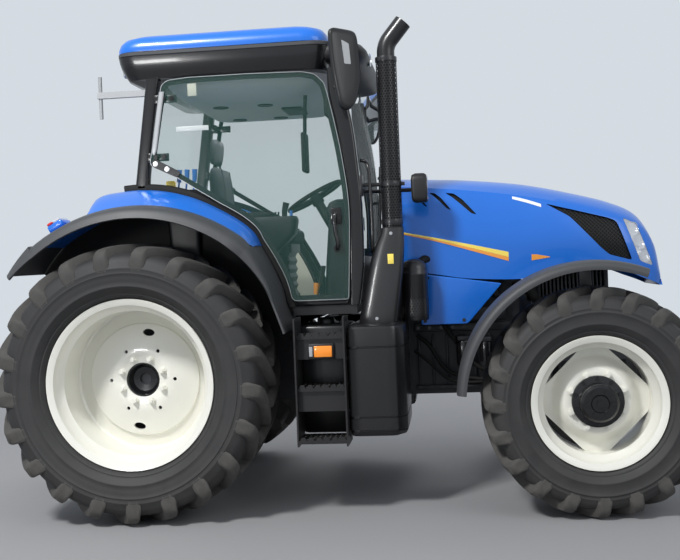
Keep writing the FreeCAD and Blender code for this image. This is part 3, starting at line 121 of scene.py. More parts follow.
LOOKS = {
    "paint": (shader("blue_paint", PAINT_BLUE, 0.30, coat=0.35, mottle=0.03, grain=0.0002, grain_size=0.003),
              "paint_blue"),
    "rim": (shader("cream_paint", RIM_CREAM, 0.32, coat=0.35, mottle=0.03, grain=0.0002, dust=0.12),
            "rim_white"),
    "rubber": (shader("tyre_rubber", RUBBER_BLACK, 0.62, mottle=0.25, mottle_size=0.12, grain=0.0010,
                      grain_size=0.006, dust=0.12, specular=0.35), "rubber"),
    # Lug rubber is lighter than the carcass: partly dust, partly a painted sunlit highlight on the lugs.
    "lug": (shader("lug_rubber_dust_and_painted_sunlight", (0.056, 0.054, 0.051), 0.72, mottle=0.30, mottle_size=0.05,
                   grain=0.0014, grain_size=0.005, dust=0.20, specular=0.3), "rubber"),
    "grey": (shader("grained_grey_plastic", PLASTIC_GREY, 0.50, mottle=0.08, grain=0.0008,
                    grain_size=0.0025, specular=0.4), "grey_plastic"),
    "black": (shader("black_plastic", PLASTIC_BLACK, 0.42, mottle=0.12, grain=0.0006, grain_size=0.003,
                     dust=0.04, specular=0.35), "black_plastic"),
    "seal": (shader("rubber_seal", (0.008, 0.008, 0.008), 0.7, mottle=0.1, grain=0.0004, specular=0.25),
             "soft_black"),
    "metal": (shader("black_enamel", METAL_BLACK, 0.32, coat=0.15, mottle=0.1, grain=0.0003,
                     grain_size=0.01, dust=0.05, specular=0.4), "black_metal"),
    "cast": (shader("dark_casting", CAST_DARK, 0.5, metal=0.1, mottle=0.25, mottle_size=0.08, grain=0.002,
                    grain_size=0.008, dust=0.12, specular=0.4), "cast"),
    "steel": (shader("zinc_steel", STEEL, 0.3, metal=0.95, mottle=0.08, mottle_size=0.05, grain=0.0002),
              "cast"),
    "glass": (shader("green_glass", (0.055, 0.165, 0.135), 0.03, mottle=0.04, mottle_size=0.8, alpha=0.12,
                     specular=0.8), "tint_glass"),
    "lens": (shader("clear_lens", (0.80, 0.83, 0.86), 0.05, mottle=0.03, alpha=0.35, specular=0.9),
             "lamp_glass"),
    "chrome": (shader("reflector", (0.82, 0.83, 0.85), 0.1, metal=1.0, mottle=0.05, mottle_size=0.03),
               "lamp_glass"),
    "mirror": (shader("mirror_glass", (0.75, 0.78, 0.8), 0.03, metal=1.0, mottle=0.02), "lamp_glass"),
    "amber": (shader("amber_lens", AMBER, 0.14, coat=0.6, mottle=0.08, mottle_size=0.01, glow=0.12),
              "lamp_glass"),
    "red": (shader("red_lens", (0.62, 0.02, 0.02), 0.14, coat=0.6, mottle=0.1, mottle_size=0.01),
            "lamp_glass"),
    "cloth": (shader("seat_cloth", (0.028, 0.03, 0.035), 0.85, mottle=0.2, mottle_size=0.02, grain=0.0015,
                     grain_size=0.0015), "seat_cloth"),
    "stripe": (shader("stripe_yellow", STRIPE_YELLOW, 0.3, coat=0.4, mottle=0.04), "paint_blue"),
    "orange": (shader("stripe_orange", STRIPE_ORANGE, 0.3, coat=0.4, mottle=0.04), "paint_blue"),
    "white": (shader("white_strip", (0.85, 0.86, 0.86), 0.3, coat=0.3, mottle=0.03), "paint_blue"),
    "enamel": (shader("gloss_black", (0.007, 0.007, 0.008), 0.22, coat=0.2, mottle=0.05, specular=0.4),
               "black_metal"),
    "satin": (shader("satin_black", (0.011, 0.011, 0.012), 0.30, coat=0.08, mottle=0.08, grain=0.0002,
                     specular=0.4), "black_plastic"),
    "gloss": (shader("gloss_cover", (0.010, 0.010, 0.011), 0.30, coat=0.25, mottle=0.05, specular=0.6),
              "black_plastic"),
    "silver": (shader("satin_silver", (0.34, 0.35, 0.36), 0.36, metal=0.4, mottle=0.05), "cast"),
    "trim": (shader("cab_lining", (0.62, 0.62, 0.52), 0.7, grain=0.0005), "grey_plastic"),
    "liner": (shader("headliner", (0.60, 0.60, 0.58), 0.8, grain=0.0006), "grey_plastic"),
    "lever": (shader("blue_lever", (0.03, 0.16, 0.5), 0.4, mottle=0.05), "black_plastic"),
}


# Building forms

def at(x, y, z):
    """Place measured from the ground under the rear axle, in the frame's own coordinates."""
    return Vector((AXLE_X + x, y, z))


def turns(count, start=0.0):
    """Angles spaced evenly over a full turn."""
    return [2 * math.pi * (step + start) / count for step in range(count)]


def circle(centre, across, upward, radius, sides):
    """Points round a centre, in the plane of two directions."""
    return [centre + radius * (math.cos(turn) * across + math.sin(turn) * upward) for turn in turns(sides)]


def round_axle(centre, reach, turn, along):
    """Place round a wheel's axis: distance from it, turn from straight up, and distance along it."""
    return centre + Vector((reach * math.sin(turn), along, reach * math.cos(turn)))


def corners(low, high, near, far):
    """Corners of a rectangle in their order round it."""
    return [(low, near), (high, near), (high, far), (low, far)]


def between(table, count):
    """Rows spaced evenly by place in the table, on smooth curves through its own rows."""
    rows = []
    last = len(table) - 1
    for step in range(count):
        reach = last * step / (count - 1)
        index = min(int(reach), last - 1)
        part = reach - index
        around = [table[max(0, min(last, index + shift))] for shift in (-1, 0, 1, 2)]
        rows.append([0.5 * (2 * b + (c - a) * part + (2 * a - 5 * b + 4 * c - d) * part ** 2
                            + (3 * b - a - 3 * c + d) * part ** 3) for a, b, c, d in zip(*around)])
    return rows


def rounded(points, radius, steps=4):
    """Closed outline of (x, z) with each corner cut to an arc-like curve."""
    outline = []
    count = len(points)
    for index, corner in enumerate(points):
        corner = Vector(corner)
        legs = [Vector(points[(index + shift) % count]) - corner for shift in (-1, 1)]
        start, end = (corner + leg.normalized() * min(radius, 0.48 * leg.length) for leg in legs)
        for step in range(steps + 1):
            part = step / steps
            outline.append((1 - part) ** 2 * start + 2 * part * (1 - part) * corner + part ** 2 * end)
    return [(point.x, point.y) for point in outline]


def drawn_in(outline, distance):
    """Closed outline of (x, z) with every corner moved inwards."""
    outline = list(outline)
    area = sum(a[0] * b[1] - b[0] * a[1] for a, b in zip(outline, outline[1:] + outline[:1]))
    shift = math.copysign(1, area) * distance
    moved = []
    for before, point, after in zip(outline[-1:] + outline[:-1], outline, outline[1:] + outline[:1]):
        run, rise = after[0] - before[0], after[1] - before[1]
        length = math.hypot(run, rise) or 1
        moved.append((point[0] - shift * rise / length, point[1] + shift * run / length))
    return moved


class Form:
    """A mesh being built, in the frame's coordinates."""

    def __init__(self):
        self.mesh = bmesh.new()

    def ring_faces(self, rings, closed=True):
        for near, far in zip(rings, rings[1:]):
            count = len(near)
            for side in range(count if closed else count - 1):
                after = (side + 1) % count
                self.mesh.faces.new((near[side], near[after], far[after], far[side]))

    def loft(self, rings, caps=True, joined=False):
        """Skin over closed rings of like points; joined links the last ring to the first."""
        made = [[self.mesh.verts.new(point) for point in ring] for ring in rings]
        self.ring_faces(made + made[:1] if joined else made)
        if caps and not joined:
            self.mesh.faces.new(made[0][::-1])
            self.mesh.faces.new(made[-1])
        return self

    def plate(self, outline, near, far):
        """Prism of an outline of (x, z) between two distances across."""
        return self.loft([[at(x, y, z) for x, z in outline] for y in (near, far)])

    def column(self, levels, radius, steps=4):
        """Upright body through rounded rectangles, each given as height, rear, front, near and far."""
        return self.loft([[at(x, y, z) for x, y in rounded(corners(*sides), radius, steps)]
                          for z, *sides in levels])

    def centred(self, levels, radius, steps=4):
        """Upright body over the middle plane, its levels given as height, rear, front and half width."""
        return self.column([(z, rear, front, -half, half) for z, rear, front, half in levels], radius, steps)

    def block(self, low, high, bevel=0.006):
        """Box between two corners with every edge taken off."""
        (x, y, z), (x_end, y_end, z_end) = low, high
        shifts = ((0, bevel), (bevel * 0.3, bevel * 0.3), (bevel, 0))
        levels = [(z + rise, inset) for rise, inset in shifts]
        levels += [(z_end - rise, inset) for rise, inset in reversed(shifts)]
        return self.column([(level, x + inset, x_end - inset, y + inset, y_end - inset)
                            for level, inset in levels], bevel * 1.5, 2)

    def band(self, outline, width, near, far):
        """Frame of an outline of (x, z) and the same drawn in by a width."""
        inner = drawn_in(outline, width)
        return self.loft([[at(x, y, z) for x, z in line] for line, y in (
            (outline, near), (outline, far), (inner, far), (inner, near))], joined=True)

    def pipe(self, points, radius, wall, sides=24):
        """Open-ended tube with a wall, in a plane along the machine."""
        outer, inner = [], []
        last = len(points) - 1
        level = Vector((0, 1, 0))
        for index, point in enumerate(points):
            along = (points[min(last, index + 1)] - points[max(0, index - 1)]).normalized()
            for rings, reach in ((outer, radius), (inner, radius - wall)):
                rings.append(circle(point, along.cross(level).normalized(), level, reach, sides))
        return self.loft(outer + inner[::-1], joined=True)

    def bowl(self, place, direction, radius, depth=0.03, sides=28):
        """Round reflector sunk into a surface, its mouth at a place and facing a direction."""
        direction = Vector(direction).normalized()
        guide = Vector((0, 0, 1)) if abs(direction.z) < 0.8 else Vector((0, 1, 0))
        across = direction.cross(guide).normalized()
        upward = across.cross(direction)
        section = ((1.0, 0.0), (1.06, 0.0), (1.06, 1.0), (0.30, 1.0), (0.55, 0.85), (0.8, 0.5), (0.94, 0.15))
        return self.loft([circle(place - direction * (sink * depth), across, upward, share * radius, sides)
                          for share, sink in section], joined=True)

    def turned(self, profile, centre, sides=96):
        """Ring about a line along Y from (radius, distance across)."""
        return self.loft([[round_axle(centre, radius, turn, along) for radius, along in profile]
                          for turn in turns(sides)], joined=True)

    def tube(self, points, radius, sides=12, end_radius=None):
        """Round bar through points, its ends capped."""
        points = [Vector(point) for point in points]
        rings = []
        last = len(points) - 1
        for index, point in enumerate(points):
            along = (points[min(last, index + 1)] - points[max(0, index - 1)]).normalized()
            guide = Vector((0, 1, 0)) if abs(along.y) < 0.8 else Vector((0, 0, 1))
            across = along.cross(guide).normalized()
            reach = radius if end_radius is None else radius + (end_radius - radius) * index / last
            rings.append(circle(point, across, across.cross(along), reach, sides))
        return self.loft(rings)

    def rod(self, start, end, radius, sides):
        """Round bar between two places measured as by at()."""
        return self.tube([at(*start), at(*end)], radius, sides)

    def turned_up(self, profile, centre, sides=40, ring=False):
        """Round body about an upright line from (radius, height), or a ring if its profile closes."""
        return self.loft([[centre + Vector((radius * math.cos(turn), radius * math.sin(turn), height))
                           for turn in turns(sides)] for radius, height in profile], joined=ring)

    def bolt(self, place, direction, across=0.02, height=0.012):
        """Hexagon head on a washer, standing on a surface."""
        direction = Vector(direction).normalized()
        self.tube([place, place + direction * height * 0.25], across * 0.72, 16)
        return self.tube([place, place + direction * height], across * 0.55, 6)

    def grid(self, rows):
        """Open sheet over rows of points."""
        made = [[self.mesh.verts.new(point) for point in row] for row in rows]
        self.ring_faces(made, closed=False)
        return self

    def wrapped(self, foot, radius, height, columns, open_share=0.62):
        """Perforated sheet of six-sided cells round an upright line."""
        width = 2 * math.pi * radius / columns
        reach = width / math.sqrt(3)
        for row in range(int((height - 2 * reach) / (1.5 * reach)) + 1):
            for column in range(columns):
                across, up = (column + row % 2 / 2) * width, reach + row * 1.5 * reach
                rings = []
                for share in (1, open_share):
                    ring = []
                    for step in range(6):
                        turn = math.radians(30 + 60 * step)
                        angle = (across + share * reach * math.cos(turn)) / radius
                        ring.append(foot + Vector((radius * math.cos(angle), radius * math.sin(angle),
                                                   up + share * reach * math.sin(turn))))
                    rings.append(ring)
                self.loft(rings, caps=False)
        bmesh.ops.remove_doubles(self.mesh, verts=self.mesh.verts, dist=0.0002)
        return self

    def mirrored(self):
        """Add the same on the other side of the machine's middle plane."""
        geometry = self.mesh.verts[:] + self.mesh.edges[:] + self.mesh.faces[:]
        found = bmesh.ops.duplicate(self.mesh, geom=geometry)["geom"]
        for item in found:
            if isinstance(item, bmesh.types.BMVert):
                item.co.y = -item.co.y
        flipped = [item for item in found if isinstance(item, bmesh.types.BMFace)]
        bmesh.ops.reverse_faces(self.mesh, faces=flipped)
        return self

    def copied(self):
        twin = Form()
        twin.mesh = self.mesh.copy()
        return twin

    def other_side(self):
        for corner in self.mesh.verts:
            corner.co.y = -corner.co.y
        bmesh.ops.reverse_faces(self.mesh, faces=self.mesh.faces[:])
        return self

    def thing(self, name):
        data = bpy.data.meshes.new(name)
        bmesh.ops.recalc_face_normals(self.mesh, faces=self.mesh.faces[:])
        self.mesh.to_mesh(data)
        self.mesh.free()
        item = bpy.data.objects.new(name, data)
        bpy.context.scene.collection.objects.link(item)
        return item

    def piece(self, name, look, replaces=(), body="tractor", smooth=35):
        """Finished piece of the mesh, with its material, shading and body."""
        return dressed(self.thing(name), look, body, replaces, smooth)


def settled(item):
    """Replace an object's mesh by what its modifiers make of it."""
    graph = bpy.context.evaluated_depsgraph_get()
    data = bpy.data.meshes.new_from_object(item.evaluated_get(graph))
    item.modifiers.clear()
    item.data = data
    return item


def modified(item, kind, **settings):
    """Apply a modifier with its settings to an object's mesh."""
    change = item.modifiers.new("change", kind)
    for name, value in settings.items():
        setattr(change, name, value)
    return settled(item)


def carved(item, cutters, operation="DIFFERENCE"):
    """Cut forms out of an object, or keep only what lies in them."""
    tools = [cutter.thing("cutter") for cutter in cutters]
    for tool in tools:
        change = item.modifiers.new("cut", "BOOLEAN")
        change.object = tool
        change.solver = "EXACT"
        change.operation = operation
    settled(item)
    for tool in tools:
        bpy.data.objects.remove(tool)
    return item


def thickened(item, depth):
    """Give an open sheet its thickness, inwards from its outer face."""
    return modified(item, "SOLIDIFY", thickness=depth, offset=-1)


def dressed(item, look, body="tractor", replaces=(), smooth=35):
    """Give a finished piece its material, shading and body."""
    material, slot = LOOKS[look]
    item.data.materials.clear()
    item.data.materials.append(material)
    item.data.shade_smooth()
    item.data.set_sharp_from_angle(angle=math.radians(smooth))
    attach(item, body)
    if replaces:
        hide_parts(*replaces)
    return item


# Camera, light and floor

def camera():
    """The photograph's viewpoint: place from the rear axle, turns in radians, focal length in its pixels."""
    place, yaw, pitch, roll = at(1.929, -6.834, 1.508), -0.11575, -0.01874, 0.04088
    focal_pixels, photo_width, sensor = 1000, 680, 36
    forward = Vector((math.sin(yaw) * math.cos(pitch), math.cos(yaw) * math.cos(pitch), math.sin(pitch)))
    right = Vector((math.cos(yaw), -math.sin(yaw), 0))
    upward = right.cross(forward)
    across = right * math.cos(roll) - upward * math.sin(roll)
    top = right * math.sin(roll) + upward * math.cos(roll)
    data = bpy.data.cameras.new("camera")
    data.sensor_width = sensor
    data.lens = focal_pixels / photo_width * sensor
    item = bpy.data.objects.new("camera", data)
    item.matrix_world = Matrix.Translation(place) @ Matrix((across, top, -forward)).transposed().to_4x4()
    bpy.context.scene.collection.objects.link(item)
    bpy.context.scene.camera = item


def lamp(name, place, target, width, watts, mirrored=True, lit=True):
    """Square lamp; one that isn't mirrored makes no highlights, one that isn't lit makes only those."""
    data = bpy.data.lights.new(name, "AREA")
    data.size = width
    data.energy = watts
    item = bpy.data.objects.new(name, data)
    item.location = place
    item.rotation_euler = (Vector(target) - Vector(place)).to_track_quat("-Z", "Y").to_euler()
    item.visible_glossy = mirrored
    item.visible_diffuse = lit
    bpy.context.scene.collection.objects.link(item)


def floor():
    """Pale floor that takes the sky's own colour far from the machine."""
    extent, fade_start, fade_end = 200, 4, 14
    rows = [[Vector((x, y, 0)) for x in (-extent, extent)] for y in (-extent, extent)]
    item = Form().grid(rows).thing("floor")
    material = bpy.data.materials.new("pale_floor")
    material.use_nodes = True
    tree = material.node_tree
    noise = shader_node(tree, "TexNoise", {"Scale": 3}, "Fac")
    shade = shader_node(tree, "Mix", {"A": (0.27, 0.27, 0.275, 1), "B": (0.33, 0.33, 0.335, 1),
                                      "Factor": noise}, "Result", data_type="RGBA")
    surface = fed(tree, tree.nodes["Principled BSDF"], {"Roughness": 0.75, "Base Color": shade})
    place = shader_node(tree, "TexCoord", {}, "Object")
    length = shader_node(tree, "VectorMath", {0: place}, "Value", operation="LENGTH")
    reach = shader_node(tree, "MapRange", {"From Min": fade_start, "From Max": fade_end, "Value": length},
                        "Result", interpolation_type="SMOOTHSTEP")
    glow = shader_node(tree, "Emission", {"Color": (*SKY_SHOWN, 1)}, "Emission")
    faded = shader_node(tree, "MixShader", {"Fac": reach, 1: surface.outputs["BSDF"], 2: glow}, "Shader")
    fed(tree, tree.nodes["Material Output"], {"Surface": faded})
    item.data.materials.append(material)


def sky():
    """Soft light from the sky, which shows paler than it shines."""
    world = bpy.data.worlds.new("sky")
    bpy.context.scene.world = world
    world.use_nodes = True
    tree = world.node_tree
    soft = fed(tree, tree.nodes["Background"], {"Color": (0.82, 0.88, 1.0, 1), "Strength": 0.42})
    shown = shader_node(tree, "Background", {"Color": (*SKY_SHOWN, 1), "Strength": 1.0}, "Background")
    path = tree.nodes.new("ShaderNodeLightPath")
    seen = path.outputs["Is Camera Ray"]
    for kind in ("Is Transmission Ray", "Is Glossy Ray"):
        seen = shader_node(tree, "Math", {0: seen, 1: path.outputs[kind]}, "Value", operation="MAXIMUM")
    mixed = shader_node(tree, "MixShader", {"Fac": seen, 1: soft.outputs["Background"], 2: shown}, "Shader")
    fed(tree, tree.nodes["World Output"], {"Surface": mixed})


def studio():
    """Floor, sky and lamps: key, fill, a strip for highlights, one in the cab and one behind."""
    floor()
    sky()
    middle = at(1.3, 0, 1.2)
    lamp("key", middle + Vector((-3.5, -6.0, 6.5)), middle, 1.3, 790)
    lamp("fill", middle + Vector((5.5, -5.0, 3.5)), middle, 4.0, 120)
    lamp("strip", middle + Vector((-3.2, -6.5, 0.6)), middle, 0.8, 90, lit=False)
    lamp("cabin", at(0.60, 0, 2.53), at(0.65, 0, 1.3), 0.7, 16, mirrored=False)
    lamp("back", middle + Vector((0, 6.5, 5.0)), middle, 4.0, 300, mirrored=False)


# Wheels

# Lug's own line: distance across, radius at its top and at its foot, place round the tyre, half width on top
REAR_LUG = (
    (-0.022, 0.832, 0.776, 0.118, 0.024),
    (0.050, 0.832, 0.776, 0.078, 0.030),
    (0.140, 0.829, 0.772, 0.014, 0.031),
    (0.215, 0.823, 0.764, -0.052, 0.032),
    (0.262, 0.812, 0.752, -0.096, 0.035),
    (0.288, 0.790, 0.735, -0.112, 0.038),
    (0.300, 0.755, 0.712, -0.117, 0.037),
    (0.299, 0.712, 0.690, -0.118, 0.032),
    (0.296, 0.676, 0.670, -0.117, 0.026),
)
FRONT_LUG = (
    (-0.018, 0.654, 0.604, 0.094, 0.020),
    (0.040, 0.654, 0.604, 0.060, 0.025),
    (0.110, 0.652, 0.600, 0.010, 0.026),
    (0.170, 0.647, 0.594, -0.042, 0.027),
    (0.208, 0.638, 0.584, -0.078, 0.030),
    (0.229, 0.620, 0.570, -0.090, 0.032),
    (0.240, 0.590, 0.550, -0.094, 0.031),
    (0.239, 0.556, 0.532, -0.095, 0.027),
    (0.236, 0.524, 0.518, -0.094, 0.022),
)
# Half section of the carcass: radius, distance across, from the bead over the bulge to mid crown
REAR_CARCASS = (
    (0.480, 0.196), (0.498, 0.208), (0.512, 0.232), (0.522, 0.252), (0.534, 0.262), (0.540, 0.262),
    (0.552, 0.276), (0.576, 0.288), (0.580, 0.2915), (0.586, 0.2925), (0.590, 0.2905), (0.612, 0.2945),
    (0.635, 0.298), (0.652, 0.2985), (0.655, 0.3005), (0.660, 0.3005), (0.663, 0.2975), (0.680, 0.296),
    (0.684, 0.2975), (0.690, 0.2970), (0.694, 0.2945), (0.722, 0.288), (0.750, 0.272), (0.768, 0.245),
    (0.778, 0.190), (0.783, 0.100), (0.785, 0.0),
)
FRONT_CARCASS = (
    (0.353, 0.162), (0.372, 0.170), (0.384, 0.192), (0.394, 0.206), (0.404, 0.212), (0.410, 0.212),
    (0.420, 0.222), (0.440, 0.230), (0.444, 0.2335), (0.450, 0.2345), (0.454, 0.2325), (0.490, 0.238),
    (0.506, 0.2380), (0.509, 0.2400), (0.514, 0.2400), (0.517, 0.2370), (0.530, 0.235), (0.534, 0.2365),
    (0.539, 0.2360), (0.543, 0.2330), (0.558, 0.230), (0.582, 0.217), (0.597, 0.194), (0.606, 0.150),
    (0.610, 0.080), (0.612, 0.0),
)


def tyre(end, side, track, centre_x, radius, carcass, lug_line, lug_count, lug_sweep, lug_width, body):
    """Tyre with rounded carcass and curved lugs that run over its shoulders."""
    centre = at(centre_x, side * track / 2, radius)
    section = [(reach, side * across) for reach, across in carcass]
    section += [(reach, -side * across) for reach, across in reversed(carcass[:-1])]
    side_name = "right" if side == RIGHT else "left"
    carcass_form, form = Form().turned(section, centre, 126), Form()
    pitch = 2 * math.pi / lug_count
    tip = lug_sweep / 2 + lug_width / 2
    stand = (math.pi - math.atan2(tip, math.sqrt(radius ** 2 - tip ** 2))) % pitch - pitch
    foot_spread, foot_lean, edge = 0.016, 0.006, 0.010
    for row in (1, -1):
        for step in range(lug_count):
            turn = step * pitch + stand + (pitch / 2 if row == -1 else 0)
            rings = []
            for across, top, foot, place, half in between(lug_line, 15):
                ring = []
                for reach, shift in ((foot, -half - foot_spread), (top - edge, -half - 0.002),
                                     (top, -half + 0.007), (top, half - 0.007), (top - edge, half + 0.002),
                                     (foot, half + foot_spread)):
                    lean = across - (foot_lean if reach == foot else 0)
                    ring.append(round_axle(centre, reach, turn + (place + shift) / radius, side * row * lean))
                rings.append(ring)
            form.loft(rings)
    # The lugs take the lighter rubber, which paints sunlight on them as well as dust.
    form.piece("%s_lugs_%s" % (end, side_name), "lug", (), body, 38)
    carcass_form.piece("%s_carcass_%s" % (end, side_name), "rubber", ("%s_tyre_%s" % (end, side_name),),
                       body, 38)


def rim_section(rim, width, disc_depth, face_depth, face_radius, bore):
    """Radius and distance in from the outer face, round the rim's and its disc's whole closed outline."""
    wall, disc, tip = 0.012, 0.014, 0.095
    seat, well = rim - 0.030, rim - 0.064
    inner = well - wall
    ridge = inner - 0.078
    return (
        (rim - 0.002, -0.001), (rim, 0.004), (rim, 0.010), (rim - 0.006, 0.016), (seat + 0.004, 0.024),
        (seat, 0.034), (seat - 0.004, 0.060), (well + 0.004, 0.086), (well, tip), (well, width - 0.070),
        (seat, width - 0.030), (rim, width - 0.012), (rim, width - 0.001), (seat - wall, width),
        (inner, width - 0.072), (inner, disc_depth + disc), (inner - 0.05, disc_depth + disc - 0.006),
        (face_radius + 0.03, face_depth + disc + 0.006), (face_radius, face_depth + disc),
        (bore, face_depth + disc), (bore, face_depth + 0.002), (bore + 0.003, face_depth),
        (face_radius - 0.01, face_depth), (face_radius + 0.012, face_depth + 0.004),
        (ridge - 0.020, disc_depth - 0.036), (ridge - 0.012, disc_depth - 0.033),
        (ridge - 0.006, disc_depth - 0.021), (ridge + 0.002, disc_depth - 0.018),
        (inner - 0.055, disc_depth - 0.008), (inner - 0.012, disc_depth - 0.001), (inner, disc_depth - 0.012),
        (inner, tip), (seat - wall - 0.004, 0.060), (seat - wall, 0.034), (seat - wall + 0.003, 0.014),
        (rim - 0.012, 0.001),
    )


# Front disc: radius and depth of its face, from the bore over its cone to the raised edge
FRONT_DISC = ((0.112, 0.110), (0.165, 0.110), (0.187, 0.114), (0.205, 0.132), (0.236, 0.170), (0.250, 0.182),
              (0.262, 0.186), (0.293, 0.189), (0.3049, 0.190))


def lobed_disc(form, centre, face, side):
    """Front wheel's coned disc, its edge drawn in to leave four lens-shaped openings to the rim."""
    bore, outer = FRONT_DISC[0][0], FRONT_DISC[-1][0]
    flat, thick, quarter = 0.262, 0.014, math.pi / 2
    rings = []
    for angle in turns(144):
        lobe = angle - quarter / 2 - quarter * round((angle - quarter / 2) / quarter)
        edge = min(outer, flat / math.cos(lobe))
        line = [bore + (row[0] - bore) * (edge - bore) / (outer - bore) for row in between(FRONT_DISC, 25)]
        section = [(radius, dish(radius)) for radius in line]
        section += [(radius, depth + thick) for radius, depth in reversed(section)]
        rings.append([round_axle(centre, radius, angle, face - side * depth) for radius, depth in section])
    form.loft(rings, joined=True)


def dish(radius):
    """Depth of the front disc's face at a radius."""
    for (near, depth), (far, deeper) in zip(FRONT_DISC, FRONT_DISC[1:]):
        if radius <= far:
            return depth + (deeper - depth) * (radius - near) / (far - near)
    return FRONT_DISC[-1][1]


def wheel(end, side_name, side, track, centre_x, radius, section, width, sides, body, holes, nuts, hub):
    """Rim and disc with hand holes and nuts, and the hub that shows in its middle."""
    face = side * (track + width) / 2
    centre = at(centre_x, 0, radius)
    rim = Form().turned([(reach, face - side * depth) for reach, depth in section], centre, sides)
    if not holes:
        lobed_disc(rim, centre, face, side)
    rim = rim.thing("%s_rim_shell_%s" % (end, side_name))
    cutters = []
    for reach, degrees, size, stretch in holes:
        turn = math.radians(degrees)
        outward = Vector((math.sin(turn), 0, math.cos(turn)))
        along = Vector((math.cos(turn), 0, -math.sin(turn)))
        ring = circle(centre + reach * outward, stretch * along, outward, size, 20)
        cutters.append(Form().loft([[point + Vector((0, y, 0)) for point in ring]
                                    for y in (face - side * 0.05, face - side * 0.44)]))
    if cutters:
        carved(rim, cutters)
    dressed(rim, "rim", body, ("%s_rim_%s" % (end, side_name),), 40)
    depth, reach, count = nuts
    outward = Vector((0, side, 0))
    studs = Form()
    for turn in turns(count, 0.5):
        place = round_axle(centre, reach, turn, face - side * depth)
        studs.bolt(place, outward, 0.034, 0.020)
        studs.tube([place, place + 0.032 * outward], 0.011)
    studs.piece("%s_wheel_nuts_%s" % (end, side_name), "rim", (), body)
    boss = Form().turned([(reach, face - side * depth) for reach, depth in hub], centre, 48)
    # Bolts of the front hub: number, turn of the first in shares of a step, reach, place out, size, height
    hub_bolts = ((6, 0.5, 0.070, 0.020, 0.024, 0.010), (1, 0, 0, 0.014, 0.036, 0.016),
                 (10, 0, 0.129, -0.078, 0.020, 0.012))
    for count, start, reach, out, across, height in () if holes else hub_bolts:
        for turn in turns(count, start):
            boss.bolt(round_axle(centre, reach, turn, face + side * out), outward, across, height)
    boss.piece("%s_hub_%s" % (end, side_name), "enamel", (), body)


def wheels():
    """Deep-dished rear wheels and the front ones with their black hubs."""
    holes = [(0.200, 30 + 60 * step, 0.011, 1) for step in range(6)]
    holes += [(0.290, turn, 0.022, 1.7) for turn in (8, 188)]
    rear_hub = ((0.104, 0.283), (0.104, 0.300), (0.080, 0.330), (0.035, 0.335), (0.035, 0.325),
                (0.074, 0.316), (0.095, 0.283))
    front_hub = ((0.010, -0.014), (0.046, -0.014), (0.052, -0.020), (0.092, -0.020), (0.106, -0.006),
                 (0.1105, 0.020), (0.1105, 0.070), (0.147, 0.078), (0.147, 0.104), (0.112, 0.108),
                 (0.112, 0.170), (0.070, 0.170), (0.070, 0.238), (0.010, 0.238))
    rear_section = rim_section(0.508, 0.480, 0.340, 0.268, 0.190, 0.105)
    front_section = rim_section(0.381, 0.404, 0.190, 0.110, 0.175, 0.112)
    barrel = front_section[:15] + front_section[-5:]
    for side_name, side in SIDES:
        body = "rear_wheel_" + side_name
        wheel("rear", side_name, side, REAR_TRACK, 0, REAR_TYRE_RADIUS, rear_section, 0.480, 126, body, holes,
              (0.268, 0.1375, 8), rear_hub)
        tyre("rear", side, REAR_TRACK, 0, REAR_TYRE_RADIUS, REAR_CARCASS, REAR_LUG, 21, 0.230, 0.062, body)
        body = "front_wheel_" + side_name
        wheel("front", side_name, side, FRONT_TRACK, WHEELBASE, FRONT_TYRE_RADIUS, barrel, 0.404, 120, body,
              (), (0.110, 0.158, 8), front_hub)
        tyre("front", side, FRONT_TRACK, WHEELBASE, FRONT_TYRE_RADIUS, FRONT_CARCASS, FRONT_LUG, 20, 0.180,
             0.052, body)


# Bonnet

# Stations along the bonnet: place, crown, crease, half width at the crease, at the flank, lower edge
BONNET = (
    (1.592, 2.040, 1.969, 0.395, 0.455, 1.433),
    (1.800, 2.028, 1.950, 0.394, 0.454, 1.400),
    (2.028, 2.012, 1.925, 0.392, 0.452, 1.364),
    (2.380, 1.968, 1.872, 0.386, 0.446, 1.352),
    (2.700, 1.895, 1.800, 0.375, 0.432, 1.400),
    (2.950, 1.820, 1.728, 0.345, 0.400, 1.385),
    (3.100, 1.738, 1.655, 0.300, 0.345, 1.330),
    (3.185, 1.590, 1.540, 0.262, 0.300, 1.295),
    (3.224, 1.400, 1.375, 0.225, 0.255, 1.275),
)
BONNET_ROWS, CROWN_STEPS, FLANK_STEPS = 65, 9, 12
GRILLE_WINDOW = ((2.504, 1.820), (2.900, 1.712), (2.945, 1.690), (3.035, 1.440), (2.890, 1.481),
                 (2.836, 1.529), (2.652, 1.731))
LAMP_WINDOW = ((2.985, 1.712), (3.075, 1.672), (3.172, 1.400), (3.085, 1.432))
# Air slots in the flanks: rear end's place and height, length along and fall; their outline in shares of both
BONNET_SLOTS = ((1.879, 1.916, 0.195, 0.148), (1.775, 1.922, 0.140, 0.118), (1.665, 1.922, 0.100, 0.092))
SLOT_OUTLINE = ((0, 0), (0.27, -0.03), (0.55, -0.32), (1, -1), (0.82, -0.93), (0.48, -0.5), (0.22, -0.2))
# Strips on the flanks: name, look, upper and lower line
STRIPS = (
    ("stripe_rear", "stripe", ((1.600, 1.676), (1.850, 1.622), (2.262, 1.524)),
     ((1.600, 1.668), (1.850, 1.609), (2.262, 1.492))),
    ("stripe_lower", "orange", ((1.600, 1.6675), (1.850, 1.6085), (2.262, 1.4915)),
     ((1.600, 1.662), (1.850, 1.597), (2.262, 1.466))),
    ("stripe_tip", "orange", ((2.405, 1.502), (2.440, 1.500), (2.520, 1.483)),
     ((2.405, 1.464), (2.440, 1.469), (2.520, 1.480))),
    ("bare_strip", "white", ((2.300, 1.876), (2.390, 1.850), (2.478, 1.818)),
     ((2.300, 1.858), (2.390, 1.830), (2.478, 1.798))),
)


